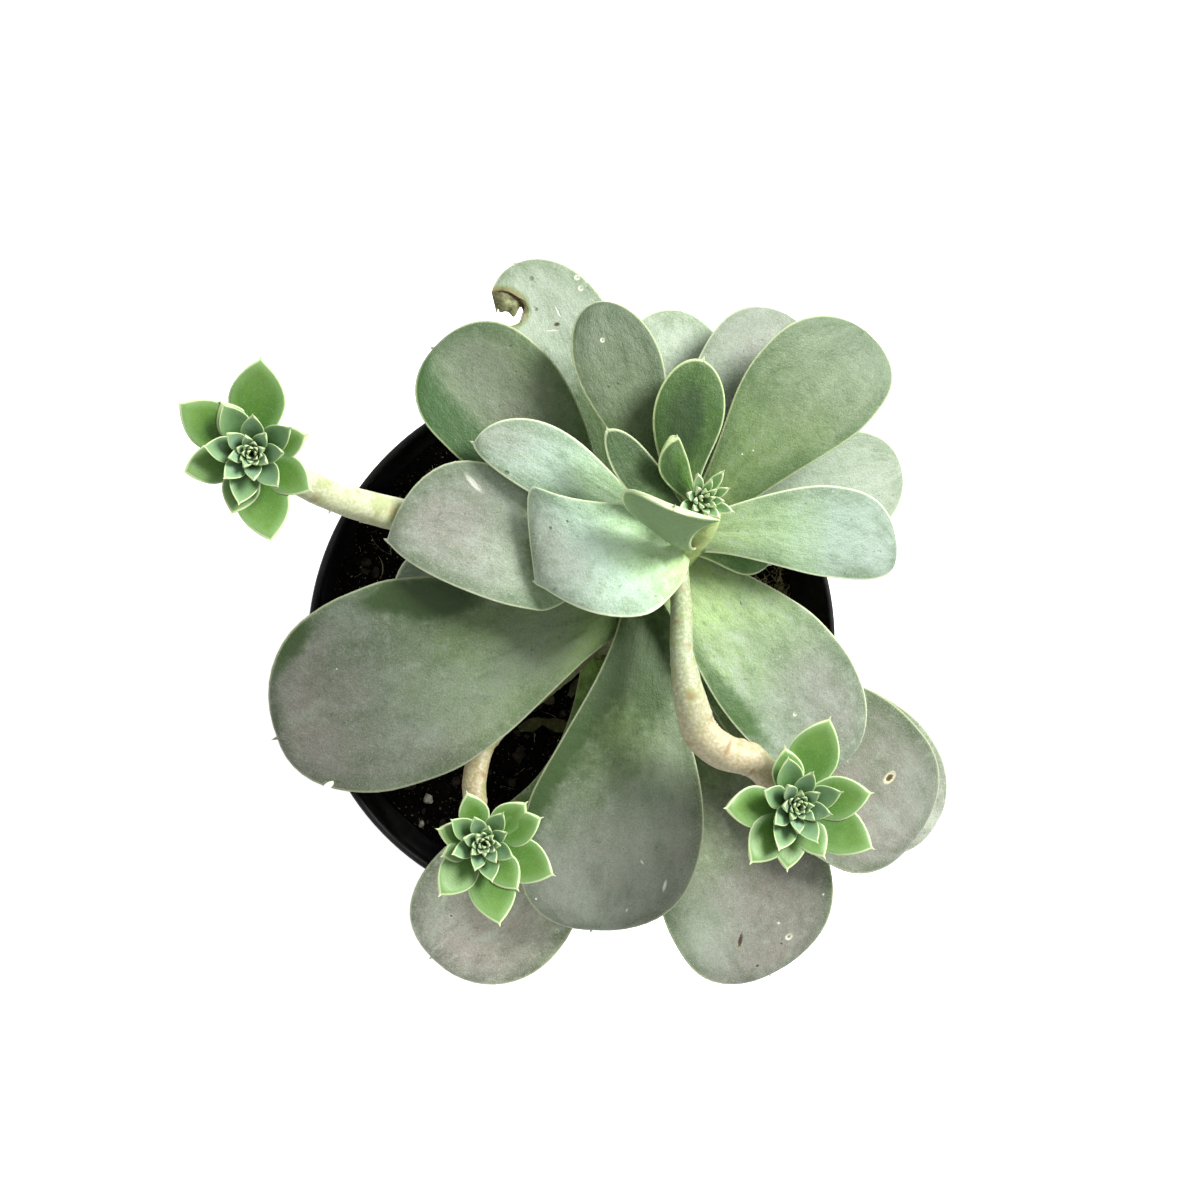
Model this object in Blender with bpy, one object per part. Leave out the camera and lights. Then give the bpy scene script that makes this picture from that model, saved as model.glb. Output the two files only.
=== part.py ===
"""Potted echeveria: a leaning succulent with spoon-shaped leaves and three offset rosettes
on bare stems, in a plain black nursery pot.

Frame: metres, +Z up, origin at the middle of the pot's base. The front of the plant is -Y.
Sizes below are in millimetres and are turned into metres where a mesh is made.
"""

import math

import bmesh
import bpy
from mathutils import Matrix, Vector

MM = 0.001
GAP = 0.35  # clearance between pieces that touch on the real plant
UP = Vector((0, 0, 1))

# Pot
POT_HEIGHT = 100.0
RIM_RADIUS = 62.5
BASE_RADIUS = 44.0
WALL = 1.6
COLLAR_HEIGHT = 13.0
COLLAR_STEP = 3.0  # how far the collar stands out from the tapered wall
COLLAR_DRAFT = 0.8
FLOOR = 2.0
EDGE = 1.5
LIP = 0.5
POT_SIDES = 40
DRAIN_HOLES = 6
DRAIN_RADIUS = 4.0
DRAIN_CIRCLE = 31.0

# Soil
SOIL_TOP = 85.0
SOIL_SIDES = 32
SOIL_SWELL = 1.6
SOIL_SHOULDER = 1.5
SOIL_RINGS = (0.75, 0.5, 0.25)  # rings of its top, as shares of its radius
HOLE_DEPTH = 40.0  # of the cutter, past the top of the soil

# Main stem: points from below the soil to the growing tip, with the radius at each
STEM_ROUTE = [
    ((7, -2, 64), 5.4),
    ((7, -2, 86), 6.0),
    ((7, 3, 100), 5.8),
    ((11, 12, 114), 5.4),
    ((15, 22, 128), 5.0),
    ((17, 28, 138), 4.4),
    ((17, 31, 144), 3.6),
]
STEM_SIDES = 3  # bevel setting: sides of the round section, two for each step and four more
OFFSET_STEM_SIDES = 2

# Leaf: the same outline and section for every leaf, sized by the leaf's own numbers
LEAF_AROUND = 8
LEAF_ROWS = (0.0, 0.02, 0.12, 0.26, 0.40, 0.54, 0.66, 0.77, 0.86, 0.93, 0.975, 0.996, 1.0)
LEAF_THICKNESS = 4.2
UPPER_SHARE = 0.36
MUCRO = 1.8

# Leaves. height: where the root joins the stem. tip: where the blade ends. rise and slope: the
# midrib's angles at the root and at the tip, in degrees. bow: how far the midrib swings
# sideways. skew: how far the end point sits to the left of the midrib, as a share of half the
# width. slant: how far the right margin reaches past the left one at the end, as a share of the
# width. petiole, widest, waist and blunt shape the outline, as in half_width.
LEAVES = {
    "leaf_front_low_left": dict(
        height=96, tip=(-35, -71, 100), width=36, rise=20, slope=-22, bow=20, widest=0.75,
        waist=1.8, blunt=2.6),
    "leaf_front_low_right": dict(
        height=100, tip=(46, -79.6, 100), width=42, rise=16, slope=-18, bow=6, blunt=2.6),
    "leaf_right_front_lower": dict(
        height=106, tip=(88, -45, 101), width=36, rise=15, slope=-18),
    "leaf_left_lower": dict(
        height=107, tip=(-44, 13, 107), width=24, rise=10, slope=-12, blunt=3),
    "leaf_right_lower": dict(
        height=107, tip=(73.5, 41, 113), width=26, rise=15, slope=-5, bow=14, petiole=0.22,
        waist=1.4, blunt=3),
    "leaf_back_middle": dict(
        height=108, tip=(20, 76, 113), width=26, rise=14, slope=-6, blunt=3),
    "leaf_back_left": dict(
        height=111, tip=(-17.5, 85, 113), width=27, rise=24, slope=-15, bow=-8, blunt=2.6),
    "leaf_right_front_middle": dict(
        height=112, tip=(79.5, -46.8, 108), width=38.5, rise=19, slope=-18, blunt=2.6),
    "leaf_back_right": dict(
        height=115, tip=(42.8, 74.6, 120), width=29, rise=22, slope=-8, blunt=3.2),
    "leaf_left_large": dict(
        height=115, tip=(-70.2, -15.2, 113), width=43, rise=24, slope=-20, skew=0.15,
        petiole=0.30, widest=0.66, waist=1.05, blunt=2.6),
    "leaf_front_large": dict(
        height=117, tip=(-1, -62.5, 116), width=40, rise=24, slope=-20, bow=-4, petiole=0.31,
        blunt=2.6),
    "leaf_upper_left": dict(
        height=114, tip=(-36.5, 64.5, 123), width=29, rise=29, slope=-14, bow=-9, widest=0.76,
        waist=1.5, blunt=3),
    "leaf_upper_right": dict(
        height=122, tip=(57.0, 69.7, 131), width=28, rise=30, slope=-10, bow=8,
        slant=0.25, widest=0.74, waist=1.4, blunt=2.8),
    "leaf_small_right": dict(
        height=130, tip=(35.2, 19, 130), width=7, rise=10, slope=-5, petiole=0.45, point=0.7),
    "leaf_left_middle": dict(
        height=126, tip=(-42, 33, 128), width=27, rise=20, slope=-20, bow=16, skew=0.75,
        slant=0.4, petiole=0.25, widest=0.50, waist=1.6, blunt=5),
    "leaf_right_front_upper": dict(
        height=124, tip=(56.7, -25.3, 122), width=29.5, rise=25, slope=-20, petiole=0.46,
        widest=0.56, waist=0.75, blunt=2.3),
    "leaf_back_upright": dict(
        height=128, tip=(-4.5, 73, 135), width=18.5, rise=34, slope=-10, widest=0.76,
        waist=1.5),
    "leaf_left_front": dict(
        height=133.2, tip=(-13.9, 23.8, 138.5), width=22, rise=45, slope=-26, bow=36,
        skew=0.85, slant=1.1, bearing=190, petiole=0.52, widest=0.50, waist=0.7, blunt=6),
    "leaf_left_upper": dict(
        height=130.5, tip=(-27.6, 47, 134.8), width=14.5, rise=25, slope=-12, skew=0.5,
        slant=0.1),
    "leaf_right": dict(
        height=134, tip=(63.5, 23, 134), width=19.4, rise=20, slope=-14, bow=10, skew=-0.4,
        petiole=0.42, widest=0.65, waist=0.8, blunt=2.6),
    "leaf_back_dark": dict(
        height=135, tip=(16, 60.4, 146), width=15, rise=36, slope=10, bow=20),
    "leaf_left_small": dict(
        height=138.5, tip=(-3.2, 46.3, 150), width=8.5, rise=52, slope=20, bow=28, skew=0.4,
        widest=0.58, blunt=2.6),
    "leaf_folded_small": dict(
        height=140.5, tip=(6.7, 43.5, 154), width=6.5, rise=58, slope=50, bow=15, skew=-0.6,
        bearing=118),
    "leaf_front_upright": dict(
        height=134, tip=(7.1, 30.1, 156.5), width=20, rise=60, slope=118, bearing=-110,
        petiole=0.2, widest=0.90, waist=2.2, blunt=4),
}

YOUNG_WIDTH = 16

# Offset stems: the height where each leaves the main stem and its radius there, then the
# points of its route with the radius at each, the radius at its end and the rosette it carries
OFFSET_STEMS = {
    "offset_stem_left": (121, 2.0, [
        ((-8, 20, 122), 2.3), ((-20, 24, 121), 3.0), ((-35, 28, 120), 3.5),
        ((-46, 30, 123), 3.5), ((-58, 33, 131), 3.1), ((-67, 37, 138), 2.7),
    ], 2.4, "rosette_left"),
    "offset_stem_front_right": (129, 2.2, [
        ((14, 9, 137), 2.3), ((13, 1, 141), 2.4), ((14, -8, 143), 2.8), ((17, -16, 142), 3.4),
        ((22, -20, 141), 3.4), ((28, -22, 141), 3.2), ((32, -26, 142), 2.8),
    ], 2.4, "rosette_front_right"),
    "offset_stem_front_left": (101.5, 2.2, [
        ((-6, -6, 106), 2.5), ((-16, -13, 108), 2.6), ((-24, -20, 112), 2.6),
        ((-27, -28, 116), 2.6), ((-27, -35, 120), 2.4),
    ], 2.2, "rosette_front_left"),
}
STEM_NECK = 3.5  # last stretch of an offset stem, straight into the foot of its rosette

# Small rosettes: centre of the core, lean (bearing, angle), outer leaves (bearing, length),
# rise of the outer leaves, number of inner leaves, width over length, reach of the inner ones
SMALL_ROWS = (0.0, 0.04, 0.30, 0.58, 0.80, 0.94, 1.0)
SMALL_LEAF = dict(petiole=0.55, widest=0.55, waist=1.0, blunt=1.9, point=0.8, thickness=2.2,
                  cup=0.20, around=6, rows=SMALL_ROWS, mucro=0.9)
GOLDEN = 137.5  # degrees round the spiral from one leaf to the next
ROSETTE_CORE = 2.6
ROSETTE_CORE_DEPTH = 5.0
ROSETTES = {
    "rosette_front_left": (
        (-27, -39, 131), (120, 8),
        [(108, 11), (42, 12), (22, 13), (-26, 16), (-55, 12), (-80, 17), (228, 14), (196, 9),
         (162, 10)],
        12, 10, 0.60, 13,
    ),
    "rosette_front_right": (
        (34, -30, 151), (120, 6),
        [(68, 19), (8, 16), (-30, 18), (-62, 12), (-100, 13), (-132, 15), (180, 15),
         (100, 12)],
        12, 10, 0.58, 16,
    ),
    "rosette_left": (
        (-73, 40, 149), (250, 4),
        [(84, 18), (145, 16), (196, 13), (-108, 12), (-78, 17), (-32, 13), (20, 11), (120, 11)],
        12, 10, 0.60, 16,
    ),
}

# Heart
HEART_CENTRE = (15.5, 32, 145.5)
HEART_CORE = 2.4
HEART_LEAVES = 13
HEART_REACH = 7.2
HEART_START = 60
HEART_LEAF = dict(petiole=0.6, widest=0.55, waist=1.0, point=0.8, thickness=1.5, cup=0.25,
                  around=6, rows=SMALL_ROWS, mucro=0.6)


def clear_scene():
    for obj in list(bpy.data.objects):
        bpy.data.objects.remove(obj, do_unlink=True)


def material(name, colour, roughness):
    made = bpy.data.materials.new(name)
    made.use_nodes = True
    shader = made.node_tree.nodes["Principled BSDF"]
    shader.inputs["Base Color"].default_value = (*colour, 1)
    shader.inputs["Roughness"].default_value = roughness
    shader.inputs["Metallic"].default_value = 0.0
    return made


def add_object(name, mesh, finish):
    obj = bpy.data.objects.new(name, mesh)
    mesh.materials.clear()
    mesh.materials.append(finish)
    bpy.context.scene.collection.objects.link(obj)
    return obj


def mesh_from(bm, name):
    mesh = bpy.data.meshes.new(name)
    bm.to_mesh(mesh)
    bm.free()
    mesh.shade_smooth()
    return mesh


def smooth_step(u):
    u = min(max(u, 0.0), 1.0)
    return u * u * (3 - 2 * u)


def bezier(points, t):
    a, b, c, d = points
    k = 1 - t
    return a * k**3 + b * (3 * k * k * t) + c * (3 * k * t * t) + d * t**3


def bezier_slope(points, t):
    a, b, c, d = points
    k = 1 - t
    return (b - a) * (3 * k * k) + (c - b) * (6 * k * t) + (d - c) * (3 * t * t)


def smooth_route(route, per_span=3):
    """Points and radii along a smooth curve through a route of (point, radius)."""
    points = [Vector(place) for place, _ in route]
    radii = [radius for _, radius in route]
    ends = [points[0] * 2 - points[1], *points, points[-1] * 2 - points[-2]]
    found = []
    for i in range(len(points) - 1):
        p0, p1, p2, p3 = ends[i : i + 4]
        for j in range(per_span):
            t = j / per_span
            place = 0.5 * (2 * p1 + (p2 - p0) * t + (2 * p0 - 5 * p1 + 4 * p2 - p3) * t**2
                           + (3 * p1 - p0 - 3 * p2 + p3) * t**3)
            found.append((place, radii[i] + (radii[i + 1] - radii[i]) * t))
    return [*found, (points[-1], radii[-1])]


def stem_at(height):
    """Middle, radius and direction of the main stem at a height."""
    line = smooth_route(STEM_ROUTE)
    for (low, low_radius), (high, high_radius) in zip(line, line[1:]):
        if height <= high.z:
            break
    t = (height - low.z) / (high.z - low.z)
    radius = low_radius + (high_radius - low_radius) * t
    return low.lerp(high, t), radius, (high - low).normalized()


def heading(bearing, rise=0):
    """Unit vector from two angles in degrees: round from +X, and up from level."""
    turn, up = math.radians(bearing), math.radians(rise)
    return Vector((math.cos(turn) * math.cos(up), math.sin(turn) * math.cos(up), math.sin(up)))


def half_width(s, petiole, widest, waist, blunt, point):
    """Spoon outline: the stalk's share of the width, widening to 1 at `widest`, faster the
    lower `waist` is, and then a round end, squarer the higher `blunt` is and more pointed
    the higher `point` is."""
    if s <= widest:
        return petiole + (1 - petiole) * smooth_step((s / widest) ** waist)
    return max(0.0, 1 - ((s - widest) / (1 - widest)) ** blunt) ** point


def section_shape(x, z, half, thick, cup):
    """Place across and above the midrib for a point of a lens-shaped section."""
    share = UPPER_SHARE if z > 0 else 1 - UPPER_SHARE
    return half * x, z * thick * share + cup * half * x * x


def split_alike(ball, spot):
    """Splits each four-sided face from its root-side midrib corner to its tip-side margin
    corner, so the upper and lower faces of a thin blade match and never cross."""
    for face in [f for f in ball.faces if len(f.verts) == 4]:
        rings = [spot[v][0] for v in face.verts]
        low, high = min(rings), max(rings)
        near = max((v for v in face.verts if spot[v][0] == low), key=lambda v: abs(spot[v][2]))
        far = min((v for v in face.verts if spot[v][0] == high), key=lambda v: abs(spot[v][2]))
        bmesh.utils.face_split(face, near, far)


def leaf_bmesh(root, tip, width, rise, slope, bow=0, skew=0, slant=0, petiole=0.26,
               widest=0.70, waist=1.15, blunt=2.0, point=0.5, thickness=LEAF_THICKNESS,
               cup=0.16, bearing=None, around=LEAF_AROUND, rows=LEAF_ROWS, mucro=MUCRO):
    """One closed leaf: a ball whose rings are moved to the leaf's cross-sections."""
    across = tip - root
    length = across.length
    if bearing is None:
        bearing = math.degrees(math.atan2(across.y, across.x))
    start = heading(bearing + bow, rise)
    end = heading(bearing - bow, slope)
    curve = (root, root + start * length * 0.38, tip - end * length * 0.38, tip)
    last = len(rows) - 1
    ball = bmesh.new()
    bmesh.ops.create_uvsphere(ball, u_segments=around, v_segments=last, radius=1)
    spot = {}
    for v in ball.verts:
        ring = round((1 - math.acos(max(-1, min(1, v.co.z))) / math.pi) * last)
        reach = max(math.hypot(v.co.x, v.co.y), 1e-6)
        spot[v] = (ring, v.co.x / reach, v.co.y / reach)
    for v, (ring, x, z) in spot.items():
        s = rows[ring]
        middle = bezier(curve, s)
        along = bezier_slope(curve, s).normalized()
        side = UP.cross(heading(bearing))
        side = (side - along * side.dot(along)).normalized()
        share = half_width(s, petiole, widest, waist, blunt, point)
        place = middle
        if s > widest:
            place = middle + side * (skew * width / 2 * (1 - share))
        if ring == last:
            place += along * mucro
        elif ring:
            thick = thickness * min(1, share * 3)
            out, above = section_shape(x, z, width / 2 * share, thick, cup)
            place += side * out + along.cross(side) * above
            place -= along * (slant * out * smooth_step((s - 0.2) / 0.6))
        v.co = place * MM
    split_alike(ball, spot)
    return ball


def leaf_root(height, tip, width, rise, bearing=None, bow=0, **_):
    """Where a leaf starts: just off the stem's skin, and further off where a leaf that hugs the
    stem would touch it with the upper edge of its first section."""
    middle, radius, along = stem_at(height)
    away = tip - middle if bearing is None else heading(bearing)
    away = (away - along * away.dot(along)).normalized()
    if bearing is None:
        bearing = math.degrees(math.atan2(away.y, away.x))
    facing = heading(bearing + bow, rise).dot(away)
    hugging = math.sqrt(max(0.0, 1 - facing * facing))
    first = LEAF_ROWS[1] * (tip - middle).length
    clear = LEAF_THICKNESS * UPPER_SHARE * hugging - first * facing
    return middle + away * (radius + GAP + max(0.0, clear))


def add_leaf(name, finish, height, tip, **shape):
    tip = Vector(tip)
    ball = leaf_bmesh(leaf_root(height, tip, **shape), tip, **shape)
    return add_object(name, mesh_from(ball, name), finish)


def add_tube(name, route, finish, sides_setting):
    """A solid round stem along a smooth route, as a bevelled curve with filled ends."""
    line = smooth_route(route)
    curve = bpy.data.curves.new(name, "CURVE")
    curve.dimensions = "3D"
    curve.bevel_depth = MM
    curve.bevel_resolution = sides_setting
    curve.use_fill_caps = True
    spline = curve.splines.new("POLY")
    spline.points.add(len(line) - 1)
    for at, (place, radius) in zip(spline.points, line):
        at.co = (*(place * MM), 1)
        at.radius = radius
    curve.materials.append(finish)
    obj = bpy.data.objects.new(name, curve)
    bpy.context.scene.collection.objects.link(obj)
    return obj


def rosette_axis(lean):
    """Direction in which a rosette opens: up, tipped towards a bearing."""
    towards, angle = lean
    return heading(towards, 90 - angle)


def add_offset_stem(name, height, root_radius, route, end_radius, rosette, finish):
    """Leaves the main stem square to its skin's gap and ends flat under its rosette."""
    target = Vector(route[0][0])
    middle, radius, along = stem_at(height)
    away = target - middle
    slant = abs(away.normalized().dot(along))
    away = (away - along * away.dot(along)).normalized()
    root = middle + away * (radius + GAP + root_radius * slant)
    centre, lean = ROSETTES[rosette][:2]
    axis = rosette_axis(lean)
    foot = Vector(centre) - axis * (ROSETTE_CORE_DEPTH / 2 + 2 * GAP)
    neck = foot - axis * STEM_NECK
    ends = [(neck, end_radius), (foot, end_radius)]
    return add_tube(name, [(root, root_radius), *route, *ends], finish, OFFSET_STEM_SIDES)


def turned(name, profile, sides):
    """A solid of revolution from a closed profile of (radius, height) points."""
    bm = bmesh.new()
    verts = [bm.verts.new(Vector((r, 0, z)) * MM) for r, z in profile]
    edges = [bm.edges.new((verts[i], verts[i - 1])) for i in range(len(verts))]
    bmesh.ops.spin(bm, geom=verts + edges, cent=(0, 0, 0), axis=(0, 0, 1),
                   angle=2 * math.pi, steps=sides, use_merge=True)
    bmesh.ops.remove_doubles(bm, verts=bm.verts, dist=1e-7)
    bmesh.ops.recalc_face_normals(bm, faces=bm.faces)
    return mesh_from(bm, name)


def cutter(name, bm):
    obj = bpy.data.objects.new(name, mesh_from(bm, name))
    bpy.context.scene.collection.objects.link(obj)
    obj.hide_render = True
    obj.display_type = "WIRE"
    return obj


def cut(obj, tool):
    made = obj.modifiers.new(tool.name, "BOOLEAN")
    made.operation = "DIFFERENCE"
    made.object = tool


def pot_wall_radius(height):
    """Outer radius of the tapered wall below the collar."""
    top = POT_HEIGHT - COLLAR_HEIGHT
    return BASE_RADIUS + (RIM_RADIUS - COLLAR_STEP - BASE_RADIUS) * height / top


def soil_radius(height):
    """Radius that keeps the soil just clear of the flats of the pot's many-sided wall."""
    return (pot_wall_radius(height) - WALL) * math.cos(math.pi / POT_SIDES) - GAP


def add_pot(finish):
    collar_foot = POT_HEIGHT - COLLAR_HEIGHT
    wall_top = pot_wall_radius(collar_foot)
    collar = RIM_RADIUS - COLLAR_DRAFT
    profile = [
        (0.0, 0.0), (BASE_RADIUS - EDGE, 0.0), (BASE_RADIUS, EDGE),
        (wall_top, collar_foot), (collar, collar_foot + LIP),
        (RIM_RADIUS, POT_HEIGHT - 2 * LIP), (RIM_RADIUS - LIP / 2, POT_HEIGHT - LIP / 2),
        (RIM_RADIUS - WALL / 2, POT_HEIGHT), (RIM_RADIUS - WALL, POT_HEIGHT - LIP),
        (collar - WALL, collar_foot + WALL),
        (wall_top - WALL, collar_foot - LIP), (BASE_RADIUS - WALL, FLOOR),
        (0.0, FLOOR),
    ]
    pot = add_object("pot", turned("pot", profile, POT_SIDES), finish)
    holes = bmesh.new()
    for i in range(DRAIN_HOLES):
        turn = Matrix.Rotation(2 * math.pi * i / DRAIN_HOLES, 4, "Z")
        place = turn @ Matrix.Translation((DRAIN_CIRCLE * MM, 0, 0))
        bmesh.ops.create_cone(holes, cap_ends=True, segments=12, radius1=DRAIN_RADIUS * MM,
                              radius2=DRAIN_RADIUS * MM, depth=8 * MM, matrix=place)
    cut(pot, cutter("drain_hole_cutter", holes))
    return pot


def soil_height(x, y):
    """Uneven top of the mix, sloping up a little towards the stem's side."""
    bumps = math.sin(x * 0.21 + 1.3) * math.cos(y * 0.17) + 0.6 * math.sin(x * 0.37 - y * 0.29)
    return SOIL_TOP + SOIL_SWELL * 0.5 * bumps


def add_soil(finish):
    bm = bmesh.new()
    bottom = FLOOR + GAP
    shoulder = SOIL_TOP - SOIL_SHOULDER
    side = soil_radius(shoulder)
    profile = [(0.0, bottom), (soil_radius(bottom) - EDGE, bottom), (side, shoulder),
               (side - 2 * SOIL_SHOULDER, SOIL_TOP)]
    profile += [(side * share, SOIL_TOP) for share in SOIL_RINGS]
    profile += [(0.0, SOIL_TOP)]
    verts = [bm.verts.new(Vector((r, 0, z)) * MM) for r, z in profile]
    edges = [bm.edges.new((verts[i], verts[i - 1])) for i in range(1, len(verts))]
    bmesh.ops.spin(bm, geom=verts + edges, cent=(0, 0, 0), axis=(0, 0, 1),
                   angle=2 * math.pi, steps=SOIL_SIDES, use_merge=True)
    bmesh.ops.remove_doubles(bm, verts=bm.verts, dist=1e-7)
    bmesh.ops.recalc_face_normals(bm, faces=bm.faces)
    for v in bm.verts:
        if v.co.z > (SOIL_TOP - 0.1) * MM:
            v.co.z = soil_height(v.co.x / MM, v.co.y / MM) * MM
    soil = add_object("soil", mesh_from(bm, "soil"), finish)
    foot = STEM_ROUTE[0][0]
    hole = bmesh.new()
    middle = foot[2] - GAP + HOLE_DEPTH / 2
    place = Matrix.Translation(Vector((foot[0], foot[1], middle)) * MM)
    wide = (STEM_ROUTE[1][1] + GAP) * MM
    bmesh.ops.create_cone(hole, cap_ends=True, segments=16, radius1=wide, radius2=wide,
                          depth=HOLE_DEPTH * MM, matrix=place)
    cut(soil, cutter("stem_hole_cutter", hole))
    return soil


def fuse(name, core, parts, finish):
    """One body from a core and the leaves sunk into it."""
    group = bpy.data.collections.new(name + "_parts")
    bpy.context.scene.collection.children.link(group)
    for i, bm in enumerate(parts):
        obj = bpy.data.objects.new(f"{name}_part_{i}", mesh_from(bm, f"{name}_part_{i}"))
        group.objects.link(obj)
    body = add_object(name, mesh_from(core, name), finish)
    union = body.modifiers.new("fuse", "BOOLEAN")
    union.operation = "UNION"
    union.operand_type = "COLLECTION"
    union.collection = group
    graph = bpy.context.evaluated_depsgraph_get()
    joined = bpy.data.meshes.new_from_object(body.evaluated_get(graph))
    body.modifiers.clear()
    body.data = joined
    joined.materials.clear()
    joined.materials.append(finish)
    for obj in list(group.objects):
        bpy.data.objects.remove(obj, do_unlink=True)
    bpy.data.collections.remove(group)
    return body


def rosette_leaves(outer, rise, inner, spread, scale):
    """Leaves of a small rosette round the origin, open side up: (bearing, length) for the
    outer ones, and `inner` more in a spiral that closes in towards the middle."""
    leaves = []
    for bearing, length in outer:
        leaves.append((bearing, length, rise, length * spread, 0.0))
    first = outer[0][0] + 35
    for i in range(inner):
        t = (i + 1) / inner
        length = scale * (0.62 - 0.40 * t)
        leaves.append((first + i * GOLDEN, length, rise + 22 + 40 * t, length * spread * 1.05, t))
    return leaves


def add_rosette(name, centre, lean, outer, rise, inner, spread, scale, finish):
    """A head of small leaves on a short core; lean tips it towards a bearing."""
    turn = UP.rotation_difference(rosette_axis(lean)).to_matrix().to_4x4()
    tip_over = Matrix.Translation(Vector(centre) * MM) @ turn
    core = bmesh.new()
    bmesh.ops.create_cone(core, cap_ends=True, segments=10, radius1=ROSETTE_CORE * MM,
                          radius2=ROSETTE_CORE * 0.55 * MM, depth=ROSETTE_CORE_DEPTH * MM)
    parts = []
    for bearing, length, up, width, t in rosette_leaves(outer, rise, inner, spread, scale):
        out = heading(bearing)
        root = out * 0.6 + UP * (-1.0 + 3.0 * t)
        tip = root + heading(bearing, up) * length
        parts.append(leaf_bmesh(root, tip, width, max(up - 14, 0), min(up + 16, 88),
                                bearing=bearing, **SMALL_LEAF))
    for bm in [core, *parts]:
        bm.transform(tip_over)
    return fuse(name, core, parts, finish)


def add_heart(finish):
    """The growing tip: a tight spiral of small leaves on the end of the main stem."""
    middle = Vector(HEART_CENTRE)
    core = bmesh.new()
    bmesh.ops.create_cone(core, cap_ends=True, segments=10, radius1=HEART_CORE * MM,
                          radius2=HEART_CORE * 0.5 * MM, depth=4 * MM,
                          matrix=Matrix.Translation((middle + UP * 1.2) * MM))
    parts = []
    for i in range(HEART_LEAVES):
        t = i / (HEART_LEAVES - 1)
        bearing = HEART_START + i * GOLDEN
        length = HEART_REACH * (1.0 - 0.62 * t)
        up = 42 + 38 * t
        root = middle + heading(bearing) * 0.5 + UP * (0.5 + 1.8 * t)
        tip = root + heading(bearing, up) * length
        parts.append(leaf_bmesh(root, tip, length * 0.46, up - 12, min(up + 14, 88),
                                bearing=bearing, **HEART_LEAF))
    return fuse("heart", core, parts, finish)


def main():
    clear_scene()
    plastic = material("pot_plastic", (0.02, 0.02, 0.022), 0.45)
    mix = material("potting_mix", (0.025, 0.02, 0.016), 0.95)
    bark = material("stem_skin", (0.62, 0.62, 0.46), 0.6)
    grey_leaf = material("leaf_grey_green", (0.33, 0.42, 0.33), 0.55)
    young_leaf = material("leaf_young_green", (0.30, 0.45, 0.24), 0.5)
    fresh_leaf = material("leaf_fresh_green", (0.20, 0.42, 0.16), 0.5)
    add_pot(plastic)
    add_soil(mix)
    add_tube("main_stem", STEM_ROUTE, bark, STEM_SIDES)
    for name, shape in LEAVES.items():
        add_leaf(name, young_leaf if shape["width"] < YOUNG_WIDTH else grey_leaf, **shape)
    for name, values in OFFSET_STEMS.items():
        add_offset_stem(name, *values, bark)
    for name, values in ROSETTES.items():
        add_rosette(name, *values, fresh_leaf)
    add_heart(young_leaf)


main()
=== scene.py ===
import math
import random

import bmesh
import bpy
import numpy as np
from mathutils import Matrix, Vector, noise


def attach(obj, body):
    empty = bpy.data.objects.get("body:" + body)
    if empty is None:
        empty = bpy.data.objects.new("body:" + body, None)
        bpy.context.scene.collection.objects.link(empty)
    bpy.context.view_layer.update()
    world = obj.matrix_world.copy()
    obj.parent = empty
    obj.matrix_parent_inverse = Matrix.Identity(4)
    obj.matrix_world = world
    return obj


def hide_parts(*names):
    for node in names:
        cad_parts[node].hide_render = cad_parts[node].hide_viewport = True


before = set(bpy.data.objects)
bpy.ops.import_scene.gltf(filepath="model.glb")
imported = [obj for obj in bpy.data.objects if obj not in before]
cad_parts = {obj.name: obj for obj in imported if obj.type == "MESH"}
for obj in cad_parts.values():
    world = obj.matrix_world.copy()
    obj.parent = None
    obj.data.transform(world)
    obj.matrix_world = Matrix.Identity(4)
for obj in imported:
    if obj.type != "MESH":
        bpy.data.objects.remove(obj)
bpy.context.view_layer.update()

# Lengths below are in millimetres unless a note says otherwise; mm turns them into metres.
# The plant grows from the middle of the pot, +Z is up and the camera looks down from the left.
mm = 0.001
up = Vector((0, 0, 1))
spiralTurn = 137.5  # degrees from one leaf of a spiral to the next


# Materials

def paint(code, tone=1.0):
    parts = [int(code[i:i + 2], 16) / 255 for i in (0, 2, 4)]
    linear = [c / 12.92 if c <= 0.04045 else ((c + 0.055) / 1.055) ** 2.4 for c in parts]
    return (*(min(1.0, c * tone) for c in linear), 1)


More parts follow.
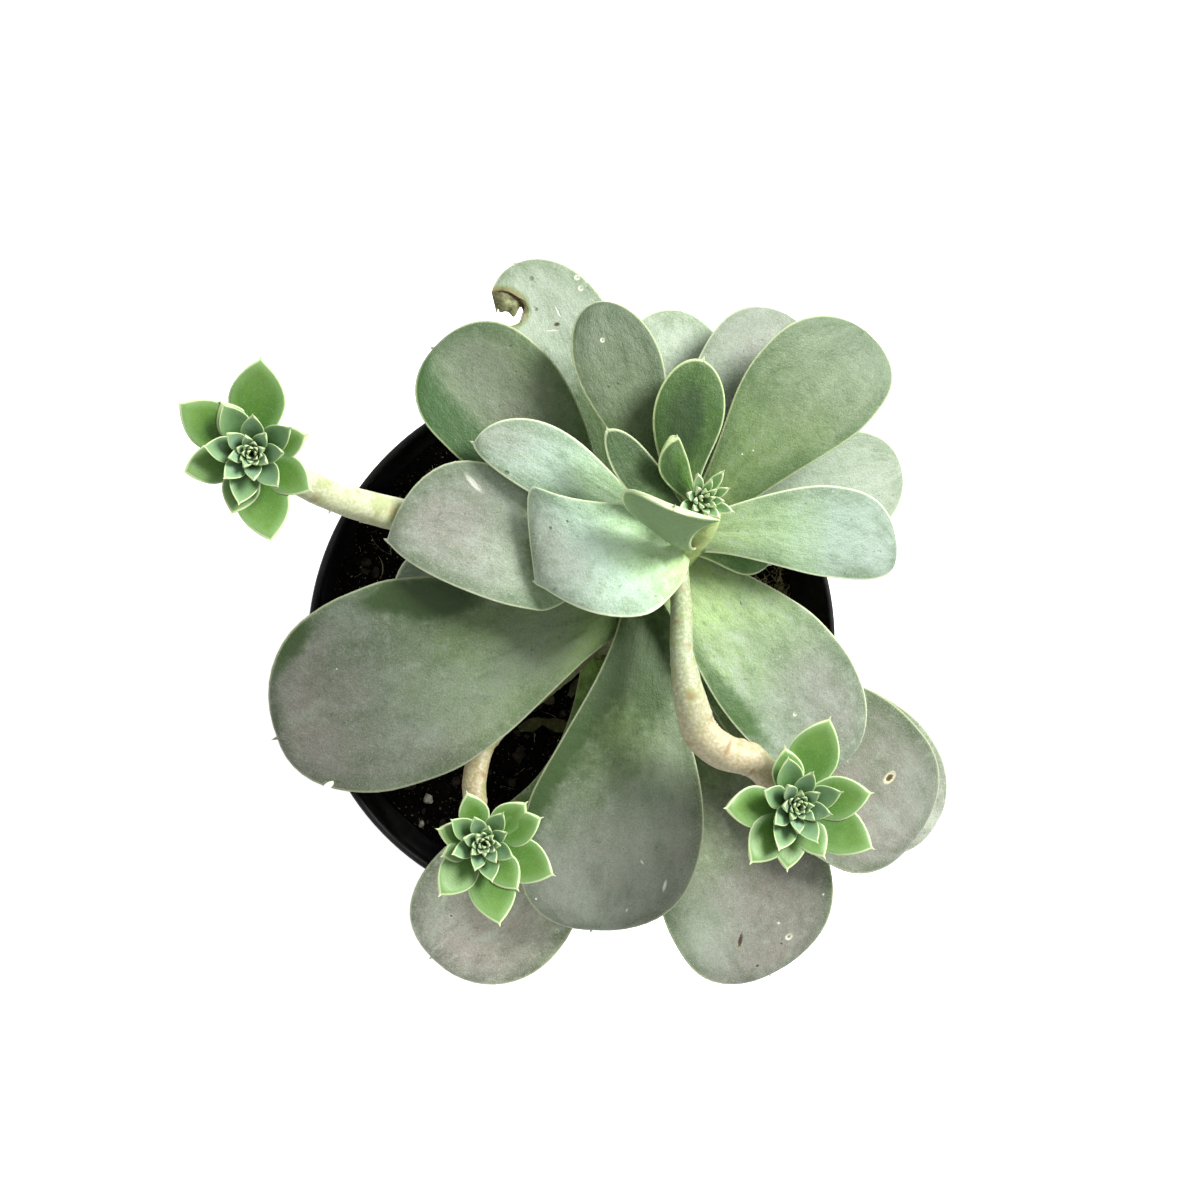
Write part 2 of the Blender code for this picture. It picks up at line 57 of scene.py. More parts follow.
class Skin:
    # A material whose colour is laid on coat over coat. Noise scales are per metre, and the
    # depths of relief are in metres.
    def __init__(self, name, roughness, **sockets):
        self.made = bpy.data.materials.new(name)
        self.made.use_nodes = True
        self.tree = self.made.node_tree
        self.shader = self.tree.nodes["Principled BSDF"]
        self.shader.inputs["Roughness"].default_value = roughness
        for key, value in sockets.items():
            self.shader.inputs[key.replace("_", " ")].default_value = value
        self.coords = self.add("TexCoord", {})["Object"]

    def add(self, kind, inputs, **settings):
        # A new node with its inputs set or linked, by name or number; gives its outputs
        made = self.tree.nodes.new("ShaderNode" + kind)
        for key, value in settings.items():
            setattr(made, key, value)
        for key, value in inputs.items():
            if isinstance(value, bpy.types.NodeSocket):
                self.tree.links.new(value, made.inputs[key])
            else:
                made.inputs[key].default_value = value
        return made.outputs

    def attribute(self, name):
        return self.add("Attribute", {}, attribute_name=name)["Fac"]

    def noiseAt(self, scale, detail=3.0, rough=0.55, coords=None):
        if coords is None:
            coords = self.coords
        return self.add("TexNoise", {"Vector": coords, "Scale": scale, "Detail": detail,
                                     "Roughness": rough})["Fac"]

    def sums(self, operation, a, b, clamp=False):
        return self.add("Math", {0: a, 1: b}, operation=operation, use_clamp=clamp)[0]

    def shake(self, value, field, amount):
        # The value moved up and down by a noise
        swing = self.sums("MULTIPLY", self.sums("SUBTRACT", field, 0.5), amount)
        return self.sums("ADD", value, swing)

    def fade(self, value, low, high, start=0.0, end=1.0):
        # Goes smoothly from start to end while the value goes from low to high
        return self.add("MapRange", {"Value": value, "From Min": low, "From Max": high,
                                     "To Min": start, "To Max": end},
                        interpolation_type="SMOOTHSTEP")["Result"]

    def ramp(self, value, stops, tone=1.0):
        # Stops are (place, colour code) or (place, grey from 0 to 1)
        made = self.tree.nodes.new("ShaderNodeValToRGB")
        marks = made.color_ramp.elements
        while len(marks) < len(stops):
            marks.new(0.5)
        for mark, (place, code) in zip(marks, stops):
            mark.position = place
        for mark, (place, code) in zip(marks, stops):
            mark.color = paint(code, tone) if isinstance(code, str) else (code, code, code, 1)
        self.tree.links.new(value, made.inputs[0])
        return made.outputs["Color"]

    def distance(self, centre, sizes, turn):
        # Distance from a place on the piece, 1 at the edge of an ellipse of these half-sizes
        scale = (*sizes, max(sizes) * 2)
        spot = self.add("Mapping", {
            "Vector": self.coords, "Location": centre, "Rotation": (0, 0, math.radians(turn)),
            "Scale": [size * mm for size in scale]}, vector_type="TEXTURE")["Vector"]
        return self.add("VectorMath", {0: spot}, operation="LENGTH")["Value"]

    def blend(self, share, first, second):
        return self.add("Mix", {0: share, 6: first, 7: second}, data_type="RGBA")[2]

    def lay(self, share, code, tone=1.0):
        self.colour = self.blend(share, self.colour, paint(code, tone))

    def coat(self, value, low, high, amount, code, tone=1.0):
        # A coat that grows from nothing to amount while the value goes from low to high
        self.lay(self.fade(value, low, high, 0.0, amount), code, tone)

    def finish(self, height, strength, distance):
        self.tree.links.new(self.colour, self.shader.inputs["Base Color"])
        relief = self.add("Bump", {"Strength": strength, "Distance": distance, "Height": height})
        self.tree.links.new(relief["Normal"], self.shader.inputs["Normal"])
        return self.made


# Pieces

def pieceName(node):
    first, *rest = node.split("_")
    return first + "".join(word.capitalize() for word in rest)


def finishPiece(name, body, material, slotName, *nodes):
    mesh = bpy.data.meshes.new(name)
    body.to_mesh(mesh)
    body.free()
    mesh.shade_smooth()
    mesh.materials.append(material)
    piece = bpy.data.objects.new(name, mesh)
    bpy.context.scene.collection.objects.link(piece)
    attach(piece, "root")
    if nodes:
        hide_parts(*nodes)
    return piece


def cutAway(piece, cutterBody):
    # Takes a closed shape out of a finished piece and keeps the result as its mesh
    mesh = bpy.data.meshes.new("cutter")
    cutterBody.to_mesh(mesh)
    cutterBody.free()
    cutter = bpy.data.objects.new("cutter", mesh)
    bpy.context.scene.collection.objects.link(cutter)
    step = piece.modifiers.new("cut", "BOOLEAN")
    step.operation = "DIFFERENCE"
    step.solver = "EXACT"
    step.object = cutter
    graph = bpy.context.evaluated_depsgraph_get()
    made = bpy.data.meshes.new_from_object(piece.evaluated_get(graph))
    piece.modifiers.clear()
    piece.data = made
    bpy.data.objects.remove(cutter, do_unlink=True)


# Routes and stems

stems = {
    "main_stem": {
        "route": [((7, -2, 66), 5.4), ((7, -2, 86), 6.0), ((7, 3, 100), 5.8), ((11, 12, 114), 5.4),
                  ((15, 22, 128), 5.0), ((17, 28, 138), 4.4), ((17, 31, 143.5), 3.6)],
        "scars": 34, "nubs": 0, "colours": ("5e5c42", "74734e", "8a9a54", "9cb464"),
    },
    "offset_stem_left": {
        "route": [((12, 17, 121), 2.0), ((-8, 20, 122), 2.3), ((-20, 24, 121), 3.0),
                  ((-35, 28, 120), 3.5), ((-46, 30, 123), 3.5), ((-58, 33, 131), 3.1),
                  ((-67, 37, 138), 2.7), ((-72.6, 40.2, 143), 2.4), ((-72.9, 40.1, 146.6), 2.4)],
        "scars": 26, "nubs": 5, "colours": ("7f8c54", "93996c", "a4a984", "9aa07c"),
    },
    "offset_stem_front_right": {
        "route": [((15, 20, 130), 2.2), ((14, 9, 137), 2.3), ((13, 1, 141), 2.4),
                  ((14, -8, 143), 3.4), ((17, -16, 142), 3.9), ((22, -20, 141), 3.8),
                  ((28, -22, 141), 3.5),
                  ((32, -26, 142), 2.8), ((33.9, -29.9, 144.8), 2.4), ((34, -30, 148.4), 2.4)],
        "scars": 24, "nubs": 9, "colours": ("7a8a5e", "7e8a66", "a29674", "a2906e"),
    },
    "offset_stem_front_left": {
        "route": [((5, 3, 102), 2.2), ((-6, -6, 106), 2.5), ((-16, -13, 108), 2.6),
                  ((-24, -20, 112), 2.6), ((-27, -28, 116), 2.6), ((-27, -35, 120), 2.4),
                  ((-26.9, -39.1, 124.6), 2.2), ((-27, -39.1, 128.3), 2.2)],
        "scars": 22, "nubs": 3, "colours": ("767c4a", "848658", "8c8258", "847452"),
    },
}
# A fallen leaf's scar is a low ridge with a pit above it, both bent into a crescent
stemForm = {
    "around": 28, "perSpan": 12, "unevenness": 0.10,
    "ridge": 0.22, "ridgeWidth": 0.55, "pit": 0.14, "pitAbove": 1.2, "pitWidth": 0.6,
    "stainAbove": 1.0, "stainWidth": 0.7, "bend": 0.6, "turn": 0.55, "reach": 4,
    "nubRadius": 0.5, "nubTip": 0.08, "nubLength": 1.3,
}


def smoothRoute(route, perSpan=3):
    points = [Vector(place) for place, radius in route]
    radii = [radius for place, radius in route]
    ends = [points[0] * 2 - points[1], *points, points[-1] * 2 - points[-2]]
    found = []
    for i in range(len(points) - 1):
        p0, p1, p2, p3 = ends[i:i + 4]
        for j in range(perSpan):
            t = j / perSpan
            place = 0.5 * (2 * p1 + (p2 - p0) * t + (2 * p0 - 5 * p1 + 4 * p2 - p3) * t**2
                           + (3 * p1 - p0 - 3 * p2 + p3) * t**3)
            found.append((place, radii[i] + (radii[i + 1] - radii[i]) * t))
    return [*found, (points[-1], radii[-1])]


def stemAt(height):
    # The main stem's middle, radius and direction at a height
    line = smoothRoute(stems["main_stem"]["route"])
    for (low, lowRadius), (high, highRadius) in zip(line, line[1:]):
        if height <= high.z:
            break
    t = (height - low.z) / (high.z - low.z)
    return low.lerp(high, t), lowRadius + (highRadius - lowRadius) * t, (high - low).normalized()


def heading(bearing, rise=0):
    turn, climb = math.radians(bearing), math.radians(rise)
    return Vector((math.cos(turn) * math.cos(climb), math.sin(turn) * math.cos(climb),
                   math.sin(climb)))


def ringsOfBall(body, around, last):
    # Every vertex of a ball with its ring number and its place round that ring
    bmesh.ops.create_uvsphere(body, u_segments=around, v_segments=last, radius=1)
    spots = {}
    for v in body.verts:
        ring = round((1 - math.acos(max(-1, min(1, v.co.z))) / math.pi) * last)
        reach = max(math.hypot(v.co.x, v.co.y), 1e-6)
        spots[v] = (ring, v.co.x / reach, v.co.y / reach)
    return spots


def framesAlong(line):
    # Adds the way forward and two ways sideways to each place and radius of a route
    framed, side = [], None
    for i, (place, radius) in enumerate(line):
        before, after = line[max(i - 1, 0)][0], line[min(i + 1, len(line) - 1)][0]
        forward = (after - before).normalized()
        if side is None:
            side = forward.cross(up if abs(forward.z) < 0.9 else Vector((1, 0, 0))).normalized()
        side = (side - forward * side.dot(forward)).normalized()
        framed.append((place, radius, forward, side, forward.cross(side)))
    return framed


def scarRelief(d, gap, size, radius):
    # Swell and stain from one scar, d past its middle and gap round the stem from it
    bent = stemForm["bend"] * gap * gap
    wide = math.exp(-(gap / (stemForm["turn"] * size)) ** 2)
    ridge = math.exp(-((d - bent) / stemForm["ridgeWidth"]) ** 2)
    pit = math.exp(-((d - stemForm["pitAbove"] - bent) / stemForm["pitWidth"]) ** 2)
    stain = math.exp(-((d - stemForm["stainAbove"] - bent) / stemForm["stainWidth"]) ** 2)
    swell = stemForm["ridge"] / radius * size * wide * ridge - stemForm["pit"] / radius * wide * pit
    return swell, wide * stain


def stemBody(node, settings):
    line = smoothRoute(settings["route"], stemForm["perSpan"])
    body = bmesh.new()
    along = body.verts.layers.float.new("along")
    scar = body.verts.layers.float.new("scar")
    spots = ringsOfBall(body, stemForm["around"], len(line) + 1)
    draw = random.Random(node)
    lengths = [0.0]
    for (a, ra), (b, rb) in zip(line, line[1:]):
        lengths.append(lengths[-1] + (b - a).length)
    total = lengths[-1]
    scars = [((i + 0.5 + draw.uniform(-0.3, 0.3)) / settings["scars"] * total,
              math.radians(i * spiralTurn + draw.uniform(-15, 15)), draw.uniform(0.7, 1.2))
             for i in range(settings["scars"])]
    line = framesAlong(line)
    for v, (ring, x, y) in spots.items():
        i = min(max(ring - 1, 0), len(line) - 1)
        place, radius, forward, side, other = line[i]
        if ring in (0, len(line) + 1):
            v.co = place
            v[along] = 0.0 if ring == 0 else 1.0
            continue
        angle = math.atan2(y, x)
        uneven = noise.noise(Vector((place.x * 0.15, place.y * 0.15, angle * 0.7)))
        swell, mark = stemForm["unevenness"] * uneven, 0.0
        for far, turn, size in scars:
            if abs(lengths[i] - far) <= stemForm["reach"]:
                gap = (angle - turn + math.pi) % (2 * math.pi) - math.pi
                more, stain = scarRelief(lengths[i] - far, gap, size, radius)
                swell, mark = swell + more, max(mark, stain)
        v.co = place + (side * x + other * y) * radius * (1 + swell)
        v[along], v[scar] = lengths[i] / total, mark
    for i in range(settings["nubs"]):  # papery stumps of dried leaf bases
        place, radius, forward, side, other = line[draw.randrange(len(line) // 3, len(line) - 4)]
        out = (-up + heading(draw.uniform(-140, -40)) * draw.uniform(0.8, 2.0)).normalized()
        out = (out - forward * out.dot(forward)).normalized()
        turn = up.rotation_difference(out).to_matrix().to_4x4()
        stump = bmesh.ops.create_cone(
            body, cap_ends=True, segments=7, radius1=stemForm["nubRadius"],
            radius2=stemForm["nubTip"], depth=stemForm["nubLength"],
            matrix=Matrix.Translation(place + out * radius) @ turn)
        for v in stump["verts"]:
            v[along], v[scar] = 0.7, -1.0
    bmesh.ops.scale(body, vec=(mm, mm, mm), verts=body.verts)
    return body


def stemSkin(name, colours):
    # Pale bark over green, brown in the scars and near white on the nubs
    skin = Skin(name, 0.5, Subsurface_Weight=0.12, Subsurface_Scale=0.002, Specular_IOR_Level=0.4)
    along, scar = skin.attribute("along"), skin.attribute("scar")
    soft, fine, specks = skin.noiseAt(240), skin.noiseAt(1400, 4, 0.7), skin.noiseAt(2200, 2, 0.5)
    stops = list(zip((0.0, 0.35, 0.65, 1.0), colours))
    skin.colour = skin.ramp(skin.shake(along, soft, 0.3), stops)
    skin.coat(fine, 0.35, 0.75, 0.35, "e8e6cf")
    skin.coat(soft, 0.50, 0.66, 0.55, "7f8a4e")
    skin.coat(scar, 0.15, 0.8, 0.7, "8b7650")
    skin.coat(specks, 0.70, 0.76, 0.4, "5d4a2e")
    skin.coat(scar, -0.4, -0.9, 1.0, "efe8d8")
    return skin.finish(fine, 0.25, 0.0003)


def makeStems():
    for node, settings in stems.items():
        name = pieceName(node)
        skin = stemSkin(name + "Skin", settings["colours"])
        finishPiece(name, stemBody(node, settings), skin, "stem_skin", node)


# Leaves: one shape for all, sized by each leaf's own numbers

# What a leaf starts from; its own numbers below take the place of these
leafForm = {
    "around": 36, "lowRows": 22, "highRows": 14,
    "bearing": None, "bow": 0, "pull": 0.38,
    "widest": 0.70, "petiole": 0.26, "waist": 1.15, "blunt": 2.0, "point": 0.5,
    "skew": 0, "slant": 0, "slantFrom": 0.2, "slantOver": 0.6,
    "thickness": 4.2, "upperShare": 0.36, "cup": 0.16, "groove": 0.22, "grooveWidth": 0.16,
    "spike": 1.0, "spikeWidth": 0.40, "wave": 0.55, "wobble": 0.018, "sink": 2.5, "seed": 0,
    "tone": 1.0, "rubs": (), "blushes": (), "pales": (), "marks": (), "bite": None,
}

# height is where a leaf leaves the main stem, tip is where it ends, and rise and slope are its
# angles there. rubs, blushes and pales are soft patches: (share of length, share across, reach
# along, reach across, strength). Rub patches are darker and greener: bloom rubbed off and, on some
# leaves, painted shade. Pale patches are lighter: paler skin and, on some leaves, painted light.
# marks are small scars: (share of length, share across, half-sizes, turn in degrees, kind), and a
# bite is the same without a kind. age picks the skin. tone scales all of a leaf's colours: partly
# its own lightness, partly painted light and shade for how brightly the leaf is lit.
leaves = {
    "leaf_front_low_left": dict(
        height=96, tip=(-35, -71, 100), width=36, rise=20, slope=-22, bow=20, widest=0.75,
        waist=1.8, blunt=2.6, tone=2.4, age="old",
        rubs=[(0.3, 0.0, 0.3, 0.9, 1.0), (0.95, -0.6, 0.06, 0.4, 0.3)],
        blushes=[(0.85, 0.2, 0.28, 1.0, 1.0)],
        marks=[(0.87, -0.33, 0.8, 0.8, 0, "wart"), (0.72, 0.83, 0.7, 0.7, 0, "wart")]),
    "leaf_front_low_right": dict(
        height=100, tip=(46, -79.6, 100), width=42, rise=16, slope=-18, bow=6, blunt=2.6,
        tone=1.12, age="old",
        rubs=[(0.45, 0.0, 0.25, 0.9, 0.5), (0.62, -0.9, 0.2, 0.3, 0.5)],
        blushes=[(0.7, 0.3, 0.3, 0.8, 0.9), (0.95, 0.0, 0.12, 1.0, 0.6)],
        pales=[(0.81, -0.6, 0.09, 0.35, 0.7)],
        marks=[(0.86, -0.28, 0.8, 2.7, -8, "cut"), (0.91, 0.4, 1.2, 1.0, 20, "wart"),
               (0.86, 0.27, 0.5, 0.5, 0, "fleck"), (0.83, 0.87, 0.4, 0.4, 0, "fleck"),
               (0.92, 0.27, 0.5, 0.4, 0, "cut"), (0.95, -0.23, 0.7, 0.5, 20, "cut")]),
    "leaf_right_front_lower": dict(
        height=106, tip=(88, -45, 101), width=36, rise=15, slope=-18, tone=1.75, age="old",
        blushes=[(0.9, 0.0, 0.3, 1.0, 0.5)],
        pales=[(0.9, 0.0, 0.3, 1.0, 0.5)]),
    "leaf_left_lower": dict(
        height=107, tip=(-44, 13, 107), width=24, rise=10, slope=-12, blunt=3, age="grown"),
    "leaf_right_lower": dict(
        height=107, tip=(73.5, 41, 113), width=26, rise=15, slope=-5, bow=14, petiole=0.22,
        waist=1.4, blunt=3, tone=0.74, age="pale"),
    "leaf_back_middle": dict(
        height=108, tip=(20, 76, 113), width=26, rise=14, slope=-6, blunt=3, tone=0.85, age="pale"),
    "leaf_back_left": dict(
        height=111, tip=(-17.5, 85, 113), width=27, rise=24, slope=-15, bow=-8, blunt=2.6,
        tone=0.76, age="pale",
        # painted shade: this dark green rub patch stands for the shadow in the gap beside this leaf
        rubs=[(0.4, 0.0, 0.28, 1.2, 1.5)],
        pales=[(0.84, -0.23, 0.07, 0.3, 1.0)],
        bite=(0.9, 0.72, 4.9, 4.0, 0),
        marks=[(0.94, -0.13, 0.8, 0.8, 0, "blot"), (0.89, -0.9, 0.8, 0.8, 0, "wart"),
               (0.86, -0.8, 0.8, 0.8, 0, "wart"), (0.87, -1.0, 0.8, 0.4, 20, "fleck"),
               (0.8, -0.1, 0.9, 0.6, 10, "cut"), (0.79, 0.0, 2.0, 0.3, 5, "fleck"),
               (0.83, -0.23, 0.3, 1.8, 25, "fleck"), (0.86, 0.1, 0.6, 0.6, 0, "blot")]),
    "leaf_right_front_middle": dict(
        height=112, tip=(79.5, -46.8, 108), width=38.5, rise=19, slope=-18, blunt=2.6,
        tone=1.1, age="old",
        blushes=[(0.8, 0.0, 0.3, 1.0, 1.0)],
        pales=[(0.92, 0.6, 0.15, 0.6, 0.5)],
        marks=[(0.8, 0.33, 2.0, 1.4, 40, "hole")]),
    "leaf_back_right": dict(
        height=115, tip=(42.8, 74.6, 120), width=29, rise=22, slope=-8, blunt=3.2,
        tone=0.6, age="pale",
        blushes=[(0.9, 0.0, 0.15, 1.0, 0.8)]),
    "leaf_left_large": dict(
        height=115, tip=(-70.2, -15.2, 113), width=43, rise=24, slope=-20, skew=0.15, petiole=0.3,
        widest=0.66, waist=1.05, blunt=2.6, tone=0.8, spike=1.5, age="old",
        # painted light and shade: the rub patches along the left edge darken the side turned from
        # the lamp, and the broad pale patch across the middle is painted light
        rubs=[(0.50, -0.70, 0.11, 0.22, 1.5), (0.6, -0.84, 0.12, 0.16, 1.2),
              (0.88, -0.90, 0.08, 0.22, 1.3), (0.99, -0.3, 0.035, 0.6, 0.9),
              (0.76, 0.05, 0.14, 0.1, 0.35)],
        blushes=[(0.92, 0.1, 0.16, 1.0, 0.9), (0.6, 0.85, 0.12, 0.3, 0.6)],
        pales=[(0.71, -0.87, 0.05, 0.14, 0.8), (0.42, 0.35, 0.22, 0.4, 0.6),
               (0.25, -0.2, 0.12, 0.6, 0.6)],
        bite=(0.915, 0.97, 1.5, 0.7, 40),
        marks=[(0.8, -0.35, 0.3, 0.3, 0, "fleck"), (0.82, 0.2, 0.3, 0.3, 0, "blot")]),
    "leaf_front_large": dict(
        height=117, tip=(-1, -62.5, 116), width=40, rise=24, slope=-20, bow=-4, petiole=0.31,
        blunt=2.6, tone=0.88, age="old",
        # painted light and shade: the rub patch at the foot is painted shadow, the rub patches on
        # the left half painted shade, and the pale patches on the right half painted light, as for
        # a blade folded along its midrib
        rubs=[(0.15, -0.3, 0.18, 1.0, 1.1), (0.25, 0.4, 0.18, 0.5, 0.9),
              (0.6, -0.95, 0.2, 0.22, 1.1), (0.5, 0.07, 0.04, 0.25, 0.5),
              (0.57, 0.57, 0.04, 0.12, 0.6), (0.4, -0.75, 0.2, 0.45, 0.9)],
        pales=[(0.62, 0.5, 0.25, 0.35, 0.6), (0.3, 0.75, 0.2, 0.25, 0.6),
               (0.95, 0.0, 0.2, 1.0, 1.3)],
        blushes=[(0.88, 0.2, 0.22, 1.0, 0.9), (0.7, 0.9, 0.2, 0.2, 0.6)],
        marks=[(0.83, 0.73, 0.45, 1.7, -10, "graze"), (0.77, 0.4, 0.3, 0.8, 35, "fleck"),
               (0.9, -0.87, 0.35, 0.35, 0, "fleck"), (0.92, 0.45, 0.3, 0.7, -20, "fleck")]),
    "leaf_upper_left": dict(
        height=114, tip=(-36.5, 64.5, 123), width=29, rise=29, slope=-14, bow=-9, widest=0.76,
        waist=1.5, blunt=3, tone=0.58, age="green",
        rubs=[(0.83, 0.75, 0.2, 0.35, 1.2), (0.97, 0.1, 0.06, 0.7, 0.5),
              (0.68, 0.9, 0.25, 0.35, 1.1), (0.4, 0.0, 0.2, 0.9, 0.7)],
        blushes=[(0.72, -0.2, 0.3, 0.6, 0.9)],
        marks=[(0.84, -0.73, 0.7, 0.4, 30, "blot"), (0.78, -0.5, 0.4, 0.4, 0, "blot")]),
    "leaf_upper_right": dict(
        height=122, tip=(57.0, 69.7, 131), width=28, rise=30, slope=-10, bow=8, slant=0.25,
        widest=0.74, waist=1.4, blunt=2.8, tone=0.56, age="green",
        rubs=[(0.7, 0.7, 0.2, 0.4, 0.5)],
        marks=[(0.43, 0.27, 0.3, 0.3, 0, "fleck"), (0.46, 0.1, 0.3, 0.3, 0, "fleck")]),
    "leaf_small_right": dict(
        height=130, tip=(35.2, 19, 130), width=7, rise=10, slope=-5, petiole=0.45, point=0.7,
        age="young"),
    "leaf_left_middle": dict(
        height=126, tip=(-42, 33, 128), width=27, rise=20, slope=-20, bow=16, skew=0.75, slant=0.4,
        petiole=0.25, widest=0.5, waist=1.6, blunt=3.2, age="grown",
        rubs=[(0.5, 0.3, 0.12, 0.6, 0.7)],
        blushes=[(0.85, 0.0, 0.3, 1.0, 0.9)],
        marks=[(0.74, -0.68, 0.9, 3.2, 42, "graze")]),
    "leaf_right_front_upper": dict(
        height=124, tip=(56.7, -25.3, 122), width=29.5, rise=25, slope=-20, petiole=0.46,
        widest=0.56, waist=0.75, blunt=2.3, tone=0.9, age="grown",
        rubs=[(0.53, -0.85, 0.16, 0.25, 1.3), (0.3, -0.85, 0.15, 0.18, 0.7)],
        blushes=[(0.75, 0.35, 0.25, 0.6, 0.8)],
        marks=[(0.69, -0.2, 0.6, 0.6, 0, "wart"), (0.24, 0.4, 0.25, 0.6, 10, "blot")]),
    "leaf_back_upright": dict(
        height=128, tip=(-4.5, 73, 135), width=18.5, rise=34, slope=-10, widest=0.76, waist=1.5,
        tone=0.4, age="green",
        rubs=[(0.75, 0.0, 0.15, 0.7, 0.4)],
        marks=[(0.86, 0.17, 0.6, 0.6, 0, "wart"), (0.69, 0.43, 0.5, 0.5, 0, "blot"),
               (0.69, 0.2, 0.5, 0.5, 0, "blot")]),
    "leaf_left_front": dict(
        height=133.2, tip=(-13.9, 23.8, 138.5), width=22, rise=45, slope=-26, bow=36, skew=0.85,
        slant=1.1, bearing=190, petiole=0.52, widest=0.5, waist=0.7, blunt=6,
        tone=1.15, age="powdered",
        blushes=[(0.97, -0.2, 0.14, 0.8, 0.7)],
        rubs=[(0.3, 0.2, 0.3, 0.9, 0.5)],
        marks=[(0.89, -0.4, 0.5, 0.5, 0, "blot"), (0.74, -0.5, 0.4, 0.4, 0, "blot")]),
    "leaf_left_upper": dict(
        height=130.5, tip=(-27.6, 47, 134.8), width=14.5, rise=25, slope=-12, skew=0.5, slant=0.1,
        tone=0.92, age="powdered",
        blushes=[(0.95, -0.3, 0.15, 0.9, 0.8)],
        marks=[(0.84, 0.87, 0.8, 0.6, 0, "blot")]),
    "leaf_right": dict(
        height=134, tip=(63.5, 23, 134), width=19.4, rise=20, slope=-14, bow=10, skew=-0.4,
        petiole=0.42, widest=0.65, waist=0.8, blunt=2.6, tone=0.66, age="powdered",
        rubs=[(0.8, -0.8, 0.2, 0.3, 0.5)]),
    "leaf_back_dark": dict(
        height=135, tip=(16, 60.4, 146), width=15, rise=36, slope=10, bow=20, tone=0.6, age="deep",
        rubs=[(0.65, 0.1, 0.3, 0.7, 1.4)]),
    "leaf_left_small": dict(
        height=138.5, tip=(-3.2, 46.3, 150), width=8.5, rise=52, slope=20, bow=28, skew=0.4,
        widest=0.58, blunt=2.6, thickness=1.8, spike=0.7, spikeWidth=0.25, tone=0.4, age="young"),
    "leaf_folded_small": dict(
        height=140.5, tip=(6.7, 43.5, 154), width=6.5, rise=58, slope=50, bow=15, skew=-0.6,
        bearing=118, thickness=1.8, spike=0.7, spikeWidth=0.25, tone=0.9, age="deep",
        rubs=[(0.6, 0.3, 0.4, 0.6, 1.3)]),
    "leaf_front_upright": dict(
        height=134, tip=(7.1, 30.1, 156.5), width=20, rise=60, slope=118, bearing=-110, petiole=0.2,
        widest=0.9, waist=2.2, blunt=4, thickness=1.5, tone=0.9, age="young"),
}

# Skins by age: colours from the leaf's foot to its end, then what lies over them
skins = {
    "old": dict(stops=("86a850", "647c45", "5f6c54", "6f7168"), rub="2a440e", blush="767067",
                pale="8f9989", rim="a4a988", under="66775f", rimStrength=0.6, roughness=0.52),
    "grown": dict(stops=("a8c67c", "849c6e", "82917b", "86907f"), rub="385820", blush="8c887f",
                  pale="a5b0a2", rim="bcc4a0", under="7c8e76", rimStrength=0.75, roughness=0.5),
    "green": dict(stops=("b8d47c", "86a460", "748c58", "768a66"), rub="33601a", blush="86887a",
                  pale="98ac88", rim="b8c496", under="7c8e6c", rimStrength=0.75, roughness=0.5),
    "pale": dict(stops=("a9c478", "9cb680", "9dae95", "9eac96"), rub="4c6832", blush="a09c92",
                 pale="b4c0ae", rim="c0c9a6", under="8c9f84", rimStrength=0.7, roughness=0.52),
    "powdered": dict(stops=("a4c080", "96b684", "99b19c", "98a999"), rub="4c6a38", blush="98958c",
                     pale="b2c2b2", rim="c8d2ac", under="88a084", rimStrength=0.85, roughness=0.5),
    "deep": dict(stops=("9cb860", "507c22", "446f18", "527c2c"), rub="28490c", blush="6f8a5c",
                 pale="6e8a56", rim="b4c48c", under="6a8a52", rimStrength=0.95, roughness=0.45),
    "young": dict(stops=("90b05c", "5c8636", "547c36", "648a4c"), rub="2a500e", blush="7c877a",
                  pale="88a274", rim="c0cea0", under="76945f", rimStrength=0.9, roughness=0.45),
}


def smoothStep(u):
    u = min(max(u, 0.0), 1.0)
    return u * u * (3 - 2 * u)


def halfShare(s, spec):
    # Half-width of a blade at s, as a share of the widest
    widest, petiole = spec["widest"], spec["petiole"]
    if s <= widest:
        return petiole + (1 - petiole) * smoothStep((s / widest) ** spec["waist"])
    reach = ((s - widest) / (1 - widest)) ** spec["blunt"]
    return max(0.0, 1 - reach) ** spec["point"]


def leafRoot(spec, tip):
    middle, radius, along = stemAt(spec["height"])
    away = heading(spec["bearing"]) if "bearing" in spec else tip - middle
    away = (away - along * away.dot(along)).normalized()
    return middle + away * (radius - leafForm["sink"])


